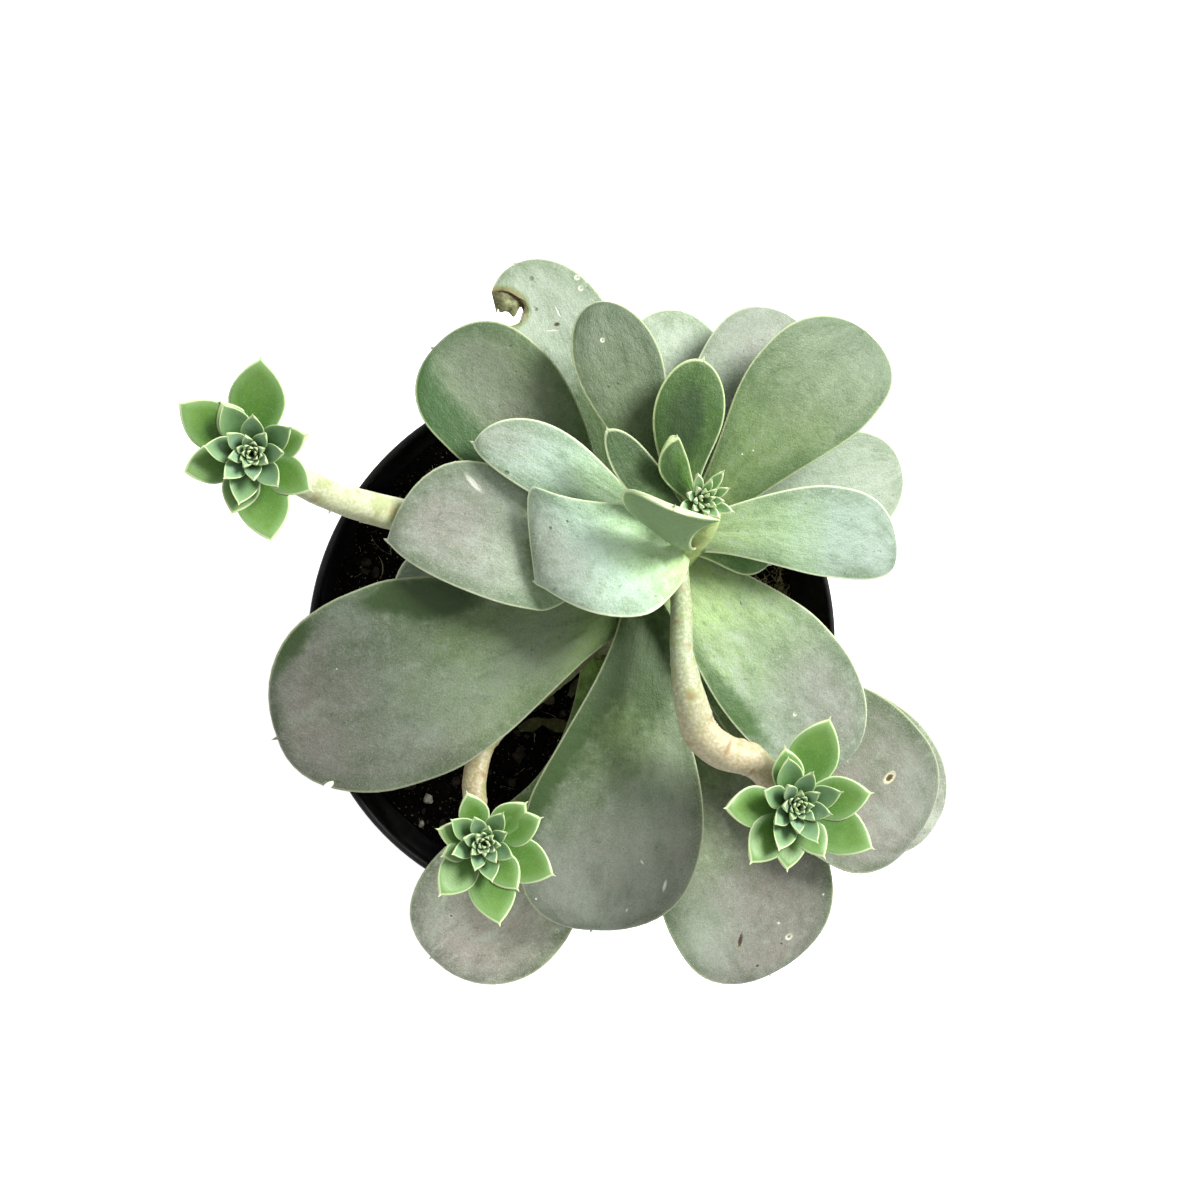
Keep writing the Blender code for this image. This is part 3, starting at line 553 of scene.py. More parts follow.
class LeafLine:
    # The midrib of a leaf: where it runs, which way is sideways, and how wide the blade is
    def __init__(self, root, tip, spec):
        self.spec = spec = {**leafForm, **spec}
        across, bearing = tip - root, spec["bearing"]
        if bearing is None:
            bearing = math.degrees(math.atan2(across.y, across.x))
        self.width, self.length = spec["width"], across.length
        start = heading(bearing + spec["bow"], spec["rise"])
        end = heading(bearing - spec["bow"], spec["slope"])
        pull = self.length * spec["pull"]
        self.curve = (root, root + start * pull, tip - end * pull, tip)
        self.level = up.cross(heading(bearing))

    def half(self, s, beyond=0.0):
        # Half the width, with the small spike at the tip
        flare = self.spec["spikeWidth"] * math.exp(-(1 - s) * self.length / self.spec["spike"])
        flare *= 1 - beyond / self.spec["spike"]
        blade = halfShare(s, self.spec) * self.width / 2 if beyond == 0 else 0.0
        return math.hypot(blade, flare)

    def shift(self, s):
        # How far the end of a skewed leaf is drawn to one side
        if s <= self.spec["widest"]:
            return 0.0
        return self.spec["skew"] * self.width / 2 * (1 - halfShare(s, self.spec))

    def lean(self, s, x, half):
        # How far one edge of a slanted leaf lies behind the other
        over = (s - self.spec["slantFrom"]) / self.spec["slantOver"]
        return self.spec["slant"] * half * x * smoothStep(over)

    def flat(self, s, x, beyond=0.0):
        half = self.half(s, beyond)
        return s * self.length + beyond - self.lean(s, x, half), x * half + self.shift(s)

    def at(self, s):
        a, b, c, d = self.curve
        k = 1 - s
        middle = a * k**3 + b * (3 * k * k * s) + c * (3 * k * s * s) + d * s**3
        slope = (b - a) * (3 * k * k) + (c - b) * (6 * k * s) + (d - c) * (3 * s * s)
        along = slope.normalized()
        side = (self.level - along * self.level.dot(along)).normalized()
        return middle + side * self.shift(s), along, side, along.cross(side)

    def surface(self, s, x, z, beyond=0.0, wave=0.0):
        # A point of the skin: s along, x across from -1 to 1, z up to 1 above and -1 below
        spec, half = self.spec, self.half(s, beyond)
        middle, along, side, above = self.at(s)
        thick = spec["thickness"] * min(1, 6 * half / self.width)
        share = spec["upperShare"] if z > 0 else 1 - spec["upperShare"]
        lift = z * abs(z) ** 0.5 * thick * share + spec["cup"] * half * x * x
        if z > 0:
            trough = math.exp(-(x / spec["grooveWidth"]) ** 2)
            lift -= spec["groove"] * trough * (1 - s) * min(1, half / 4)
        if wave:
            spot = Vector((s * self.length * 0.045, x * half * 0.06, spec["seed"] * 7.3))
            lift += wave * smoothStep(s * 1.6) * noise.noise(spot) * 1.6
            spot = Vector((s * self.length * 0.10, 4.1 if x > 0 else 9.7, spec["seed"]))
            half *= 1 + spec["wobble"] * noise.noise(spot) * abs(x)
        beyond -= self.lean(s, x, half)
        return middle + along * beyond + side * (half * x) + above * lift

    def top(self, s, x):
        # A place on the upper skin, in metres
        return self.surface(s, x, math.sqrt(max(0, 1 - x * x))) * mm


def edgeDistance(line, rows, places):
    # Distance in mm from flat leaf coordinates (along, across) to the leaf's outline
    rim = [line.flat(s, 1, b) for s, b in rows]
    points = np.array(rim + [line.flat(s, -1, b) for s, b in reversed(rows)])
    start, step = points[:-1], np.diff(points, axis=0)
    gap = np.array(places)[:, None] - start[None]
    size = np.maximum((step ** 2).sum(1), 1e-9)
    t = np.clip((gap * step[None]).sum(2) / size, 0, 1)
    return np.sqrt(((gap - t[..., None] * step[None]) ** 2).sum(2)).min(1)


def leafBody(line, around, lowRows, highRows, wave=0.0, age=0.0):
    # A ball whose rings are laid along the leaf, from its root to its spike
    spec = line.spec
    widest, spike = spec["widest"], spec["spike"]
    rows = [(0.0, 0.0), (0.004, 0.0)]
    rows += [(widest * i / lowRows, 0.0) for i in range(1, lowRows + 1)]
    rows += [(widest + (1 - widest) * math.sin(math.pi / 2 * i / highRows), 0.0)
             for i in range(1, highRows)]
    rows += [(1.0, 0.0), (1.0, spike * 0.5), (1.0, spike)]
    body = bmesh.new()
    names = ("along", "across", "edge", "upper", "rub", "blush", "pale", "age")
    for name in names:
        body.verts.layers.float.new(name)
    layers = {name: body.verts.layers.float[name] for name in names}
    spots = ringsOfBall(body, around, len(rows) - 1)
    flat = []
    for v, (ring, x, z) in spots.items():
        s, beyond = rows[ring]
        if ring in (0, len(rows) - 1):
            x = z = 0.0
        v.co = line.surface(s, x, z, beyond, wave)
        flat.append(line.flat(s, x, beyond))
        v[layers["along"]], v[layers["across"]] = s, x
        v[layers["upper"]], v[layers["age"]] = z, age
        for layer, key in (("rub", "rubs"), ("blush", "blushes"), ("pale", "pales")):
            v[layers[layer]] = min(1.5, sum(
                strength * math.exp(-((s - s0) / far) ** 2 - ((x - x0) / wide) ** 2)
                for s0, x0, far, wide, strength in spec[key]))
    outline = [row for row in rows if row[0] > 0.01]
    for v, d in zip(spots, edgeDistance(line, outline, flat)):
        v[layers["edge"]] = float(d)
    bmesh.ops.scale(body, vec=(mm, mm, mm), verts=body.verts)
    return body


# Kinds of scar: (share of its size, colour, strength) from the middle out
scarKinds = {
    "wart": ((0.0, "4a4434", 1.0), (0.32, "8c8a72", 1.0), (0.55, "dfe2cc", 0.9),
             (0.85, "b5bda0", 0.5)),
    "blot": ((0.0, "3e4c33", 0.8), (0.55, "52603f", 0.6), (0.85, "7d8a6c", 0.2)),
    "fleck": ((0.0, "c8cbba", 1.0), (0.6, "c0c4b2", 0.8), (0.85, "b0b8a4", 0.2)),
    "graze": ((0.0, "cdcec2", 1.0), (0.55, "c4c7b8", 0.9), (0.85, "b4bba8", 0.35)),
    "cut": ((0.0, "1c140a", 1.0), (0.5, "3b2c18", 0.95), (0.8, "8a8668", 0.4)),
    "hole": ((0.0, "2a2114", 1.0), (0.45, "5c4a2c", 1.0), (0.62, "cfc8a4", 1.0),
             (0.9, "b9b894", 0.6)),
}


def leafSkin(name, line):
    # Powdered leaf skin: colour runs from foot to end, mottled, with rubbed patches and scars;
    # some of the patches are painted shade and painted light
    spec = line.spec
    # tone scales the leaf's colours: partly its own lightness, partly painted light and shade, set
    # leaf by leaf for how brightly it is lit
    look, tone = skins[spec["age"]], spec["tone"]
    tones = {"rub": min(tone, 1.0), "rim": tone ** 0.35}
    skin = Skin(name, look["roughness"], Subsurface_Weight=0.10, Subsurface_Scale=0.0025,
                Subsurface_Radius=(0.7, 1.0, 0.35), Specular_IOR_Level=0.35, Sheen_Weight=0.12,
                Sheen_Roughness=0.6)
    along, across, edge = (skin.attribute(name) for name in ("along", "across", "edge"))
    cloud, mottle = skin.noiseAt(95, 3, 0.6), skin.noiseAt(420, 5, 0.65)
    grain, pits = skin.noiseAt(2600, 3, 0.7), skin.noiseAt(900, 2, 0.4)
    onBlade = skin.add("CombineXYZ", {"X": skin.sums("MULTIPLY", along, 5.0),
                                      "Y": skin.sums("MULTIPLY", across, 2.2),
                                      "Z": spec["seed"] * 3.7})["Vector"]
    streak = skin.noiseAt(1.5, 6.0, 0.62, onBlade)

    def coat(value, low, high, amount, key):
        skin.coat(value, low, high, amount, look[key], tones.get(key, tone))

    stops = list(zip((0.05, 0.38, 0.66, 0.95), look["stops"]))
    skin.colour = skin.ramp(skin.shake(along, cloud, 0.35), stops, tone)
    # Blush and pale patches laid through noise; some pale patches are painted light
    for key, field, low, start in (("blush", cloud, 0.25, 0.55), ("pale", mottle, 0.3, 0.4)):
        patch = skin.sums("MULTIPLY", skin.attribute(key), skin.fade(field, low, 0.7, start))
        skin.lay(skin.sums("MULTIPLY", patch, 0.9, True), look[key], tone)
    coat(streak, 0.48, 0.72, 0.34, "rub")
    coat(streak, 0.50, 0.32, 0.34, "pale")
    # A darker green band a few mm inside the rim: partly a greener margin with less bloom, partly
    # painted shade along the edges
    margin = skin.sums("MULTIPLY", skin.fade(edge, 5.5, 0.8, 0.0, 0.5),
                       skin.fade(cloud, 0.35, 0.62, 0.3))
    skin.lay(margin, look["rub"], tones["rub"])
    coat(mottle, 0.52, 0.72, 0.30, "rub")
    coat(mottle, 0.48, 0.28, 0.35, "pale")
    coat(grain, 0.50, 0.72, 0.45, "pale")
    coat(grain, 0.48, 0.30, 0.32, "rub")
    skin.coat(pits, 0.70, 0.76, 0.45, "4a5038", tone)
    # Rub patches: bloom rubbed off and, on some leaves, painted shade
    coat(skin.shake(skin.attribute("rub"), mottle, 0.9), 0.25, 1.15, 0.95, "rub")
    coat(skin.attribute("upper"), 0.0, -0.35, 0.75, "under")
    coat(edge, 0.55, 0.12, look["rimStrength"], "rim")
    dent = skin.sums("ADD", mottle, skin.sums("MULTIPLY", streak, 1.5))
    for s, x, wide, tall, turn, kind in spec["marks"]:
        far = skin.shake(skin.distance(line.top(s, x), (wide, tall), turn), grain, 0.5)
        rings = scarKinds[kind]
        scar = skin.ramp(far, [(share, code) for share, code, amount in rings])
        strength = skin.ramp(far, [(share, amount) for share, code, amount in rings] + [(1.0, 0.0)])
        skin.colour = skin.blend(strength, skin.colour, scar)
        dent = skin.sums("SUBTRACT", dent, skin.fade(far, 0.3, 0.9, 1.5, 0.0))
    if spec["bite"]:
        s, x, wide, tall, turn = spec["bite"]
        far = skin.shake(skin.distance(line.top(s, x), (wide, tall), turn), mottle, 0.25)
        skin.coat(far, 1.42, 1.12, 0.9, "66713a")
        skin.coat(far, 1.16, 1.0, 1.0, "7d6c48")
    return skin.finish(skin.sums("ADD", dent, skin.sums("MULTIPLY", grain, 0.4)), 0.5, 0.0005)


def biteCutter(line):
    # A wavy-edged plug that takes out the eaten part of a blade
    s, x, wide, tall, turn = line.spec["bite"]
    body = bmesh.new()
    bmesh.ops.create_cone(body, cap_ends=True, segments=36, radius1=1, radius2=1, depth=24)
    for v in body.verts:
        angle = math.atan2(v.co.y, v.co.x)
        ragged = 1 + 0.10 * noise.noise(Vector((angle * 1.8, v.co.z * 0.1, 3.0)))
        v.co.x *= wide * ragged
        v.co.y *= tall * ragged
    bmesh.ops.rotate(body, cent=(0, 0, 0), matrix=Matrix.Rotation(math.radians(turn), 3, "Z"),
                     verts=body.verts)
    bmesh.ops.translate(body, vec=line.surface(s, x, 0), verts=body.verts)
    bmesh.ops.scale(body, vec=(mm, mm, mm), verts=body.verts)
    return body


membrane = {"thickness": 0.25, "size": 1.06, "sunk": 0.4, "ragged": 0.5, "hangs": 0.1}


def membraneBody(line):
    # The dried skin left in the upper part of the bite, thin and ragged along its lower side
    s, x, wide, tall, turn = line.spec["bite"]
    body = bmesh.new()
    bmesh.ops.create_cone(body, cap_ends=True, segments=64, radius1=1, radius2=1,
                          depth=membrane["thickness"])
    for v in body.verts:
        ragged = membrane["ragged"] * noise.noise(Vector((v.co.x * 3.1, 2.0, 5.0)))
        v.co.x = max(v.co.x, -0.25 - 0.2 * v.co.y) * wide * membrane["size"]
        v.co.y = max(v.co.y, ragged - membrane["hangs"]) * tall * membrane["size"]
    bmesh.ops.translate(body, vec=line.surface(s, x, -membrane["sunk"]), verts=body.verts)
    bmesh.ops.scale(body, vec=(mm, mm, mm), verts=body.verts)
    return body


def makeLeaves():
    for number, (node, spec) in enumerate(leaves.items()):
        tip, width, name = Vector(spec["tip"]), spec["width"], pieceName(node)
        line = LeafLine(leafRoot(spec, tip), tip, {**spec, "seed": number + 1})
        lowRows = int(leafForm["lowRows"] * min(1.0, 0.45 + width / 40)) + 4
        body = leafBody(line, leafForm["around"], lowRows, leafForm["highRows"],
                        leafForm["wave"] * min(1, width / 25))
        slotName = "leaf_young_green" if width < 15 else "leaf_grey_green"
        leaf = finishPiece(name, body, leafSkin(name + "Skin", line), slotName, node)
        if "bite" in spec:
            cutAway(leaf, biteCutter(line))
        if node == "leaf_back_left":
            dry = plainSkin("dryMembrane", "8c9068", "3c3a1e", 500)
            finishPiece("dryMembrane", membraneBody(line), dry, slotName)


# Small rosettes and the heart

# outer leaves are (bearing, length); lean is (towards, angle)
rosettes = {
    "rosette_front_left": {
        "centre": (-27, -39, 131), "lean": (120, 8), "spread": 0.60, "reach": 13, "bud": 13,
        "outer": [(108, 11), (42, 12), (22, 13), (-26, 16), (-55, 12), (-80, 17), (228, 14),
                  (196, 9), (162, 10)],
    },
    "rosette_front_right": {
        "centre": (34, -30, 151), "lean": (120, 6), "spread": 0.58, "reach": 16, "bud": 14,
        "outer": [(68, 19), (8, 16), (-30, 18), (-62, 12), (-100, 13), (-132, 15), (180, 15),
                  (100, 12)],
    },
    "rosette_left": {
        "centre": (-73, 40, 149), "lean": (250, 4), "spread": 0.60, "reach": 16, "bud": 14,
        "outer": [(84, 18), (145, 16), (196, 13), (-108, 12), (-78, 17), (-32, 13), (20, 11),
                  (120, 11)],
    },
}
rosetteForm = {"rise": 12, "inner": 16, "footOut": 0.6, "turnIn": 35, "steepest": 88,
               "around": 18, "rows": (9, 8), "budRows": (5, 5), "wave": 0.25}
rosetteLeaf = {
    "petiole": 0.55, "widest": 0.55, "waist": 1.0, "blunt": 1.9, "point": 0.8, "thickness": 2.2,
    "cup": 0.20, "spike": 0.9, "spikeWidth": 0.25,
}
innerLeaf = {**rosetteLeaf, "thickness": 1.0, "cup": 0.32, "spike": 0.7}
budLeaf = {**rosetteLeaf, "widest": 0.6, "point": 0.7, "thickness": 0.5, "cup": 0.35, "spike": 0.4,
           "spikeWidth": 0.12}
heart = {"centre": (15.5, 32, 145.5), "leaves": 22, "reach": 8.0, "start": 60, "slimness": 0.32}
heartLeaf = {**rosetteLeaf, "petiole": 0.6, "blunt": 2.0, "thickness": 0.9, "cup": 0.30,
             "spike": 0.6, "spikeWidth": 0.15}
rosetteLook = {"foot": "335c14", "middle": "426a1a", "end": "5e8236", "shade": "2c4e2a",
               "powder": "7a9a7e", "under": "7a9a66", "rim": "b8c896"}
heartLook = {"foot": "4c7a30", "middle": "649250", "end": "80a470", "shade": "44703c",
             "powder": "8cac86", "under": "8aa87a", "rim": "d8e2b8"}


def joinInto(whole, part):
    mesh = bpy.data.meshes.new("part")
    part.to_mesh(mesh)
    part.free()
    whole.from_mesh(mesh)
    bpy.data.meshes.remove(mesh)


def smallLeaf(whole, root, climb, bearing, size, rise, slope, shape, age, rows="rows"):
    (length, width), (lowRows, highRows) = size, rosetteForm[rows]
    spec = {**shape, "width": width, "rise": rise, "slope": min(slope, rosetteForm["steepest"]),
            "bearing": bearing, "seed": bearing}
    line = LeafLine(root, root + heading(bearing, climb) * length, spec)
    joinInto(whole, leafBody(line, rosetteForm["around"], lowRows, highRows,
                             rosetteForm["wave"], age))


def rosetteBody(settings):
    whole, low, inner = bmesh.new(), rosetteForm["rise"], rosetteForm["inner"]
    spread, out = settings["spread"], rosetteForm["footOut"]
    for bearing, length in settings["outer"]:
        root = heading(bearing) * out - up
        size = (length - rosetteLeaf["spike"] * 0.6, length * spread)
        smallLeaf(whole, root, low, bearing, size, max(low - 14, 0), low + 16, rosetteLeaf, 0.0)
    first = settings["outer"][0][0] + rosetteForm["turnIn"]
    for i in range(inner):
        t = (i + 1) / inner
        bearing, length = first + i * spiralTurn, settings["reach"] * (0.70 - 0.46 * t)
        root, climb = heading(bearing) * out + up * (3.0 * t - 1.0), low + 14 + 38 * t
        size = (length, length * spread * (0.95 - 0.2 * t))
        smallLeaf(whole, root, climb, bearing, size, climb - 14, climb + 16, innerLeaf,
                  0.35 + 0.45 * t)
    for i in range(settings["bud"]):
        t = (i + 1) / settings["bud"]
        bearing, size = first + (inner + i) * spiralTurn, (3.4 - 1.6 * t, 1.7 - 0.6 * t)
        root, climb = heading(bearing) * (1.1 - 0.7 * t) + up * (2.0 + 0.9 * t), 62 + 20 * t
        smallLeaf(whole, root, climb, bearing, size, climb - 12, climb + 20, budLeaf, 0.9,
                  "budRows")
    towards, angle = settings["lean"]
    turn = up.rotation_difference(heading(towards, 90 - angle)).to_matrix().to_4x4()
    whole.transform(Matrix.Translation(Vector(settings["centre"]) * mm) @ turn)
    return whole


def heartBody():
    whole = bmesh.new()
    middle, count = Vector(heart["centre"]), heart["leaves"]
    for i in range(count):
        t = i / (count - 1)
        bearing, length = heart["start"] + i * spiralTurn, heart["reach"] * (1.0 - 0.62 * t)
        root, climb = middle + heading(bearing) * 0.5 + up * (0.5 + 1.8 * t), 42 + 38 * t
        size = (length, length * heart["slimness"])
        smallLeaf(whole, root, climb, bearing, size, climb - 12, climb + 14, heartLeaf,
                  0.2 + 0.5 * t)
    return whole


def rosetteSkin(name, look):
    # Fresh leaves: green at the outside, powdered blue-green towards the bud, pale rims, and a
    # painted lighter band along the rims for light on the cupped blades
    skin = Skin(name, 0.45, Subsurface_Weight=0.12, Subsurface_Scale=0.0015,
                Subsurface_Radius=(0.6, 1.0, 0.3), Specular_IOR_Level=0.4, Sheen_Weight=0.1)
    along, edge, age = (skin.attribute(name) for name in ("along", "edge", "age"))
    mottle, grain = skin.noiseAt(380, 4, 0.6), skin.noiseAt(2600, 3, 0.7)
    place = skin.shake(along, mottle, 0.5)
    outer = skin.ramp(place, [(0.1, look["foot"]), (0.5, look["middle"]), (0.95, look["end"])])
    inner = skin.ramp(place, [(0.3, look["shade"]), (0.7, look["powder"])])
    skin.colour = skin.blend(skin.fade(age, 0.1, 0.8), outer, inner)
    skin.coat(grain, 0.5, 0.75, 0.3, look["powder"])
    skin.coat(skin.attribute("upper"), 0.0, -0.35, 0.6, look["under"])
    far = skin.sums("MULTIPLY", edge, skin.fade(age, 0.1, 0.9, 1.0, 2.2))
    # painted light: a band of the lighter underside colour along the rims, standing in for light on
    # the edges of cupped leaves
    skin.coat(far, 2.2, 0.3, 0.45, look["under"])
    skin.coat(far, 0.46, 0.10, 1.0, look["rim"])
    return skin.finish(skin.sums("ADD", mottle, grain), 0.25, 0.0002)


def makeRosettes():
    fresh = rosetteSkin("rosetteSkin", rosetteLook)
    for node, settings in rosettes.items():
        finishPiece(pieceName(node), rosetteBody(settings), fresh, "leaf_fresh_green", node)
    tender = rosetteSkin("heartSkin", heartLook)
    finishPiece("heart", heartBody(), tender, "leaf_young_green", "heart")


# Pot

pot = {
    "height": 100, "rimRadius": 62.5, "baseRadius": 44, "wall": 1.6, "collar": 13, "step": 3.0,
    "draft": 0.8, "floor": 2.0, "sides": 144, "footBead": 1.5, "collarBead": 0.6,
    "holes": 6, "holeRadius": 4.0, "holeCircle": 31, "holeDepth": 8,
}


def potWallRadius(height):
    top = pot["height"] - pot["collar"]
    return pot["baseRadius"] + (pot["rimRadius"] - pot["step"] - pot["baseRadius"]) * height / top


def spinProfile(profile, steps):
    body = bmesh.new()
    verts = [body.verts.new(Vector((r, 0, z)) * mm) for r, z in profile]
    edges = [body.edges.new(pair) for pair in zip(verts, verts[1:])]
    bmesh.ops.spin(body, geom=verts + edges, cent=(0, 0, 0), axis=(0, 0, 1), angle=2 * math.pi,
                   steps=steps, use_merge=True)
    bmesh.ops.remove_doubles(body, verts=body.verts, dist=1e-7)
    bmesh.ops.recalc_face_normals(body, faces=body.faces)
    return body


def bead(centre, radius, start, end, steps=5):
    # A short arc of (radius, height) points for a rounded edge, angles in degrees
    return [(centre[0] + radius * math.cos(math.radians(start + (end - start) * i / steps)),
             centre[1] + radius * math.sin(math.radians(start + (end - start) * i / steps)))
            for i in range(steps + 1)]


def potBody():
    high, rim, wall, base = pot["height"], pot["rimRadius"], pot["wall"], pot["baseRadius"]
    foot = high - pot["collar"]
    wallTop, collar = potWallRadius(foot), rim - pot["draft"]
    profile = [(0, 0), (base - 6, 0), (base - 5, 0)]
    profile += bead((base - pot["footBead"], pot["footBead"]), pot["footBead"], -90, -8)
    profile += [(potWallRadius(foot * k / 8), foot * k / 8) for k in range(1, 8)]
    profile += [(wallTop, foot - 0.4), (wallTop + 0.4, foot), (collar - 0.7, foot)]
    small = pot["collarBead"]
    profile += bead((collar - small, foot + small), small, -80, 0)
    profile += [(rim - 0.15, high - 2.2)]
    profile += bead((rim - wall / 2, high - wall / 2), wall / 2, 0, 180, 9)
    profile += [(collar - wall, foot + 2.4), (wallTop - wall, foot - 0.5)]
    profile += [(potWallRadius(foot * k / 8) - wall, foot * k / 8) for k in range(7, 0, -1)]
    floor = pot["floor"]
    profile += [(base - wall, floor + 1), (base - wall - 1.5, floor), (0, floor)]
    return spinProfile(profile, pot["sides"])


def blackPlastic():
    skin = Skin("blackPlastic", 0.4, Specular_IOR_Level=0.22)
    upright = skin.add("Mapping", {"Vector": skin.coords, "Scale": (1, 1, 6)})["Vector"]
    streaks, dust = skin.noiseAt(60, 5, 0.6, upright), skin.noiseAt(900, 4, 0.75)
    scuffed = skin.fade(streaks, 0.45, 0.75, 0.0, 0.6)
    skin.colour = skin.blend(scuffed, paint("0e0e0f"), paint("2c2c2b"))
    skin.coat(dust, 0.62, 0.75, 0.45, "5d5a50")
    skin.tree.links.new(skin.fade(streaks, 0.3, 0.8, 0.32, 0.55), skin.shader.inputs["Roughness"])
    return skin.finish(dust, 0.15, 0.0003)


def makePot():
    shell = finishPiece("pot", potBody(), blackPlastic(), "pot_plastic", "pot")
    holes, radius = bmesh.new(), pot["holeRadius"] * mm
    for i in range(pot["holes"]):
        place = Matrix.Rotation(2 * math.pi * i / pot["holes"], 4, "Z")
        place = place @ Matrix.Translation((pot["holeCircle"] * mm, 0, 0))
        bmesh.ops.create_cone(holes, cap_ends=True, segments=32, radius1=radius, radius2=radius,
                              depth=pot["holeDepth"] * mm, matrix=place)
    cutAway(shell, holes)


# Soil and what lies on it

soil = {"top": 85.0, "underside": 60, "shoulder": 1.5, "swell": 1.6, "crumb": 1.1, "sides": 220,
        "rings": 70}


def insideRadius(height, clearance=0.0):
    return potWallRadius(height) - pot["wall"] - clearance


def soilHeight(x, y):
    bumps = math.sin(x * 0.21 + 1.3) * math.cos(y * 0.17) + 0.6 * math.sin(x * 0.37 - y * 0.29)
    crumbs = noise.fractal(Vector((x * 0.28, y * 0.28, 1.0)), 0.8, 2.1, 4)
    lumps = abs(noise.noise(Vector((x * 0.55, y * 0.55, 7.0))))
    return soil["top"] + soil["swell"] * 0.5 * bumps + soil["crumb"] * (crumbs + lumps - 0.4)


def soilBody():
    reach, rings = insideRadius(soil["top"], -0.2), soil["rings"]
    profile = [(0, soil["underside"]), (insideRadius(soil["underside"], 0.2), soil["underside"]),
               (reach, soil["top"] - soil["shoulder"])]
    profile += [(reach * k / rings, soil["top"]) for k in range(rings - 1, -1, -1)]
    body = spinProfile(profile, soil["sides"])
    for v in body.verts:
        if v.co.z > (soil["top"] - soil["shoulder"] - 0.1) * mm:
            v.co.z = soilHeight(v.co.x / mm, v.co.y / mm) * mm
    return body


def pottingMix():
    skin = Skin("pottingMix", 0.95, Specular_IOR_Level=0.05)
    crumbs = skin.noiseAt(500, 6, 0.75)
    skin.colour = skin.ramp(crumbs, [(0.3, "030303"), (0.55, "0d0b09"), (0.72, "241d15")])
    skin.coat(skin.noiseAt(160), 0.55, 0.7, 0.4, "1a140d")
    skin.coat(skin.noiseAt(1500, 2, 0.4), 0.66, 0.74, 0.7, "7d7860")
    return skin.finish(crumbs, 0.8, 0.0012)


def plainSkin(name, light, dark, scale):
    skin = Skin(name, 0.8, Specular_IOR_Level=0.3)
    flecks = skin.noiseAt(scale, 4, 0.65)
    skin.colour = skin.ramp(flecks, [(0.35, dark), (0.65, light)])
    return skin.finish(flecks, 0.4, 0.0004)


def onSoil(draw):
    # A random place on the soil
    reach = insideRadius(soil["top"], 2.5)
    distance, turn = math.sqrt(draw.uniform(0, 1)) * reach, draw.uniform(0, 2 * math.pi)
    x, y = distance * math.cos(turn), distance * math.sin(turn)
    return Vector((x, y, soilHeight(x, y)))


# What is scattered over the soil. Grains have a range of sizes, a flatness and, for single
# ones, (place, size); threads have a range of lengths and widths and, for a clump, (place, reach).
grains = {
    "perlite": {"count": 70, "sizes": (0.5, 1.6), "flat": 0.8, "seed": 11,
                "look": ("c9c6b6", "8b8878", 900),
                "single": [((-34.4, -37.1), 2.6), ((-36, -43), 1.6), ((-20, -24), 1.5),
                           ((-49, -22), 1.8)]},
    "barkChips": {"count": 420, "sizes": (0.8, 3.2), "flat": 0.35, "seed": 12,
                  "look": ("3a2c1d", "120d08", 700), "single": []},
    "grit": {"count": 420, "sizes": (0.25, 0.7), "flat": 0.9, "seed": 13,
             "look": ("969180", "3b372f", 1200), "single": []},
}
threads = {
    "fibres": {"count": 120, "lengths": (2.0, 7.0), "widths": (0.06, 0.14), "seed": 14,
               "look": ("b5ab8c", "5c5240", 1100), "clump": None},
    "driedMoss": {"count": 300, "lengths": (2.0, 6.0), "widths": (0.10, 0.26), "seed": 15,
                  "look": ("a89a72", "4f4429", 900), "clump": ((53, 8), 4.5)},
}


def grainsBody(settings):
    whole, draw = bmesh.new(), random.Random(settings["seed"])
    count, flat, single = settings["count"], settings["flat"], settings["single"]
    for i in range(count + len(single)):
        place = onSoil(draw) if i < count else Vector((*single[i - count][0], 0))
        size = draw.uniform(*settings["sizes"]) if i < count else single[i - count][1]
        turn = Matrix.Rotation(draw.uniform(0, 6.3), 4, "Z") @ Matrix.Rotation(
            draw.uniform(-0.5, 0.5), 4, "X")
        shape = Matrix.Diagonal((size, size * draw.uniform(0.6, 1.0), size * flat, 1))
        place.z = soilHeight(place.x, place.y) + size * flat * 0.25
        grain = bmesh.ops.create_icosphere(whole, subdivisions=1 if size < 0.8 else 2, radius=0.5)
        for v in grain["verts"]:
            v.co *= 1 + 0.5 * noise.noise(v.co * 2.3 + Vector((i, settings["seed"], 0)))
        bmesh.ops.transform(whole, matrix=Matrix.Translation(place) @ turn @ shape,
                            verts=grain["verts"])
    bmesh.ops.scale(whole, vec=(mm, mm, mm), verts=whole.verts)
    return whole


def threadsBody(settings):
    # Thin curved threads, each a slim ball drawn out along an arc
    whole, draw = bmesh.new(), random.Random(settings["seed"])
    limit = insideRadius(soil["top"], 2)
    for i in range(settings["count"]):
        place = onSoil(draw)
        if settings["clump"]:
            (x, y), reach = settings["clump"]
            place.x, place.y = x + draw.gauss(0, reach), y + draw.gauss(0, reach)
            far = math.hypot(place.x, place.y)
            if far > limit:
                place.x, place.y = place.x * limit / far, place.y * limit / far
        length, turn = draw.uniform(*settings["lengths"]), draw.uniform(0, 2 * math.pi)
        bend, lift = draw.uniform(-0.4, 0.4), draw.uniform(0.0, 0.35)
        width = draw.uniform(*settings["widths"])
        ahead, aside = math.cos(turn), math.sin(turn)
        thread = bmesh.ops.create_uvsphere(whole, u_segments=4, v_segments=7, radius=1)["verts"]
        for v in thread:
            t, x, y = v.co.z, v.co.x, v.co.y
            far = t * length / 2
            bow = bend * far * far / length
            v.co = Vector((far * ahead - bow * aside * 2, far * aside + bow * ahead * 2, 0))
            v.co += place + Vector((x * width, 0, y * width))
            raised = lift * length * (1 - t * t) * 0.4
            v.co.z = soilHeight(v.co.x, v.co.y) + width * (1 + y) + raised
    bmesh.ops.scale(whole, vec=(mm, mm, mm), verts=whole.verts)
    return whole


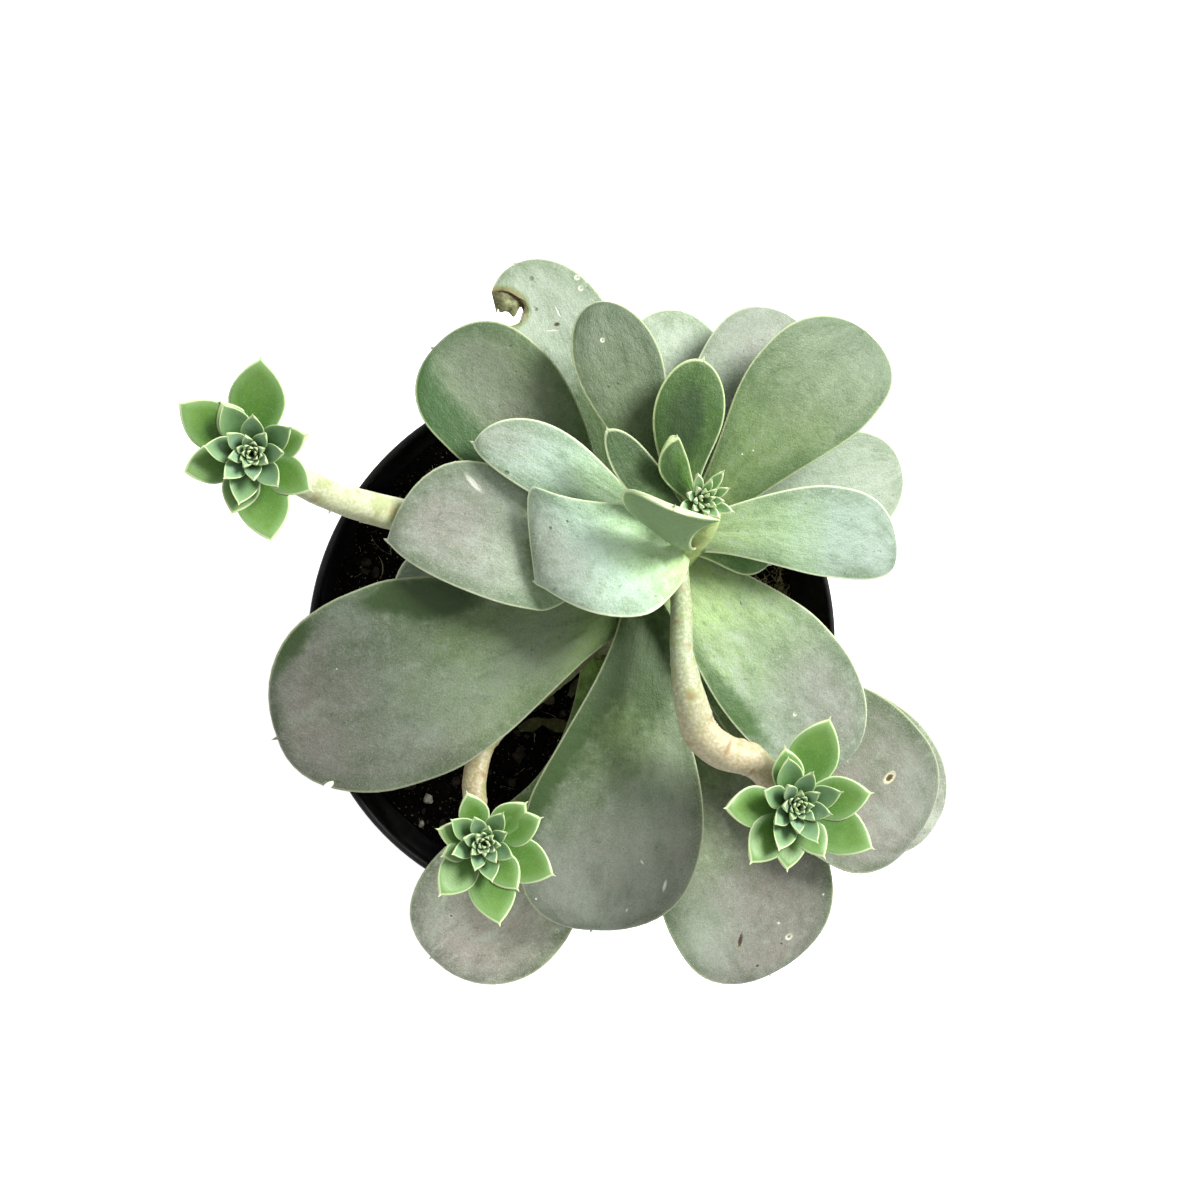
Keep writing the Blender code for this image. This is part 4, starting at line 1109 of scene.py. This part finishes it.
# Dried leaf scraps: (place, length, width, turn in degrees)
scraps = [((-7.5, -12), 8.0, 3.6, -38), ((-10, -19.5), 6.0, 3.2, 20), ((-3.5, -20), 7.0, 3.4, -15),
          ((1, -11), 5.0, 2.6, 60), ((-32, -28), 4.0, 1.6, 75), ((-45, 30), 5.0, 2.2, 30),
          ((48, 25), 6.0, 2.6, 110), ((57, -8), 5.0, 2.2, 80)]
scrapLeaf = {"lift": 0.8, "rise": 14, "slope": -16, "petiole": 0.5, "widest": 0.5, "blunt": 1.8,
             "thickness": 0.5, "cup": 0.5, "spike": 0.4, "spikeWidth": 0.15}


def scrapsBody():
    whole = bmesh.new()
    for i, ((x, y), length, width, turn) in enumerate(scraps):
        place = Vector((x, y, soilHeight(x, y) + scrapLeaf["lift"]))
        root = place - heading(turn) * length / 2
        spec = {**scrapLeaf, "width": width, "bearing": turn, "seed": i + 40}
        line = LeafLine(root, root + heading(turn, 2) * length, spec)
        joinInto(whole, leafBody(line, 12, 8, 6, wave=0.5))
    return whole


def makeSoil():
    finishPiece("soil", soilBody(), pottingMix(), "potting_mix", "soil")
    for settled, shape in ((grains, grainsBody), (threads, threadsBody)):
        for name, settings in settled.items():
            skin = plainSkin(name + "Skin", *settings["look"])
            finishPiece(name, shape(settings), skin, "potting_mix")
    dried = plainSkin("scrapSkin", "5d5a34", "37351c", 600)
    finishPiece("driedScraps", scrapsBody(), dried, "potting_mix")


# Stage, lights and camera, with places and sizes in metres

camera = {"standsAt": (-0.065756, 0.020303, 0.432962), "looksAt": (0.00434, 0.01057, 0.1),
          "lens": 43.868, "sensor": 36}
studio = {"world": 0.72, "floor": 0.92, "floorSize": 6, "glow": 0.55, "view": "Standard",
          "lamp": {"place": (0.50, 0.46, 0.72), "aim": (0, 0, 0.1), "size": 0.35, "power": 18.0}}


def makeStage():
    bpy.ops.mesh.primitive_plane_add(size=studio["floorSize"])
    floor = bpy.context.object
    floor.name = "floor"
    grey = (studio["floor"],) * 3 + (1,)
    pale = Skin("paleFloor", 0.9, Specular_IOR_Level=0.1, Base_Color=grey,
                Emission_Color=(1, 1, 1, 1), Emission_Strength=studio["glow"])
    floor.data.materials.append(pale.made)
    world = bpy.data.worlds.new("softRoom")
    world.use_nodes = True
    world.node_tree.nodes["Background"].inputs["Color"].default_value = (1, 1, 1, 1)
    world.node_tree.nodes["Background"].inputs["Strength"].default_value = studio["world"]
    bpy.context.scene.world = world
    bpy.context.scene.view_settings.view_transform = studio["view"]
    softbox, place = bpy.data.lights.new("softbox", "AREA"), Vector(studio["lamp"]["place"])
    softbox.energy, softbox.size = studio["lamp"]["power"], studio["lamp"]["size"]
    lamp = bpy.data.objects.new("softbox", softbox)
    lamp.location = place
    aim = Vector(studio["lamp"]["aim"]) - place
    lamp.rotation_euler = aim.to_track_quat("-Z", "Y").to_euler()
    bpy.context.scene.collection.objects.link(lamp)


def makeCamera():
    lens = bpy.data.cameras.new("photoCamera")
    lens.lens, lens.sensor_width = camera["lens"], camera["sensor"]
    made = bpy.data.objects.new("photoCamera", lens)
    bpy.context.scene.collection.objects.link(made)
    stand = Vector(camera["standsAt"])
    forward = (Vector(camera["looksAt"]) - stand).normalized()
    right = forward.cross(Vector((0, 1, 0))).normalized()
    turn = Matrix((right, right.cross(forward), -forward)).transposed()
    made.matrix_world = Matrix.LocRotScale(stand, turn, None)
    bpy.context.scene.camera = made


makeCamera()
makeStage()
print("stage: camera, lights and floor")
makePot()
print("pot: made")
makeSoil()
print("soil: made, with its grit and scraps")
makeStems()
print("stems: made")
makeLeaves()
print("leaves: made")
makeRosettes()
print("rosettes and heart: made")
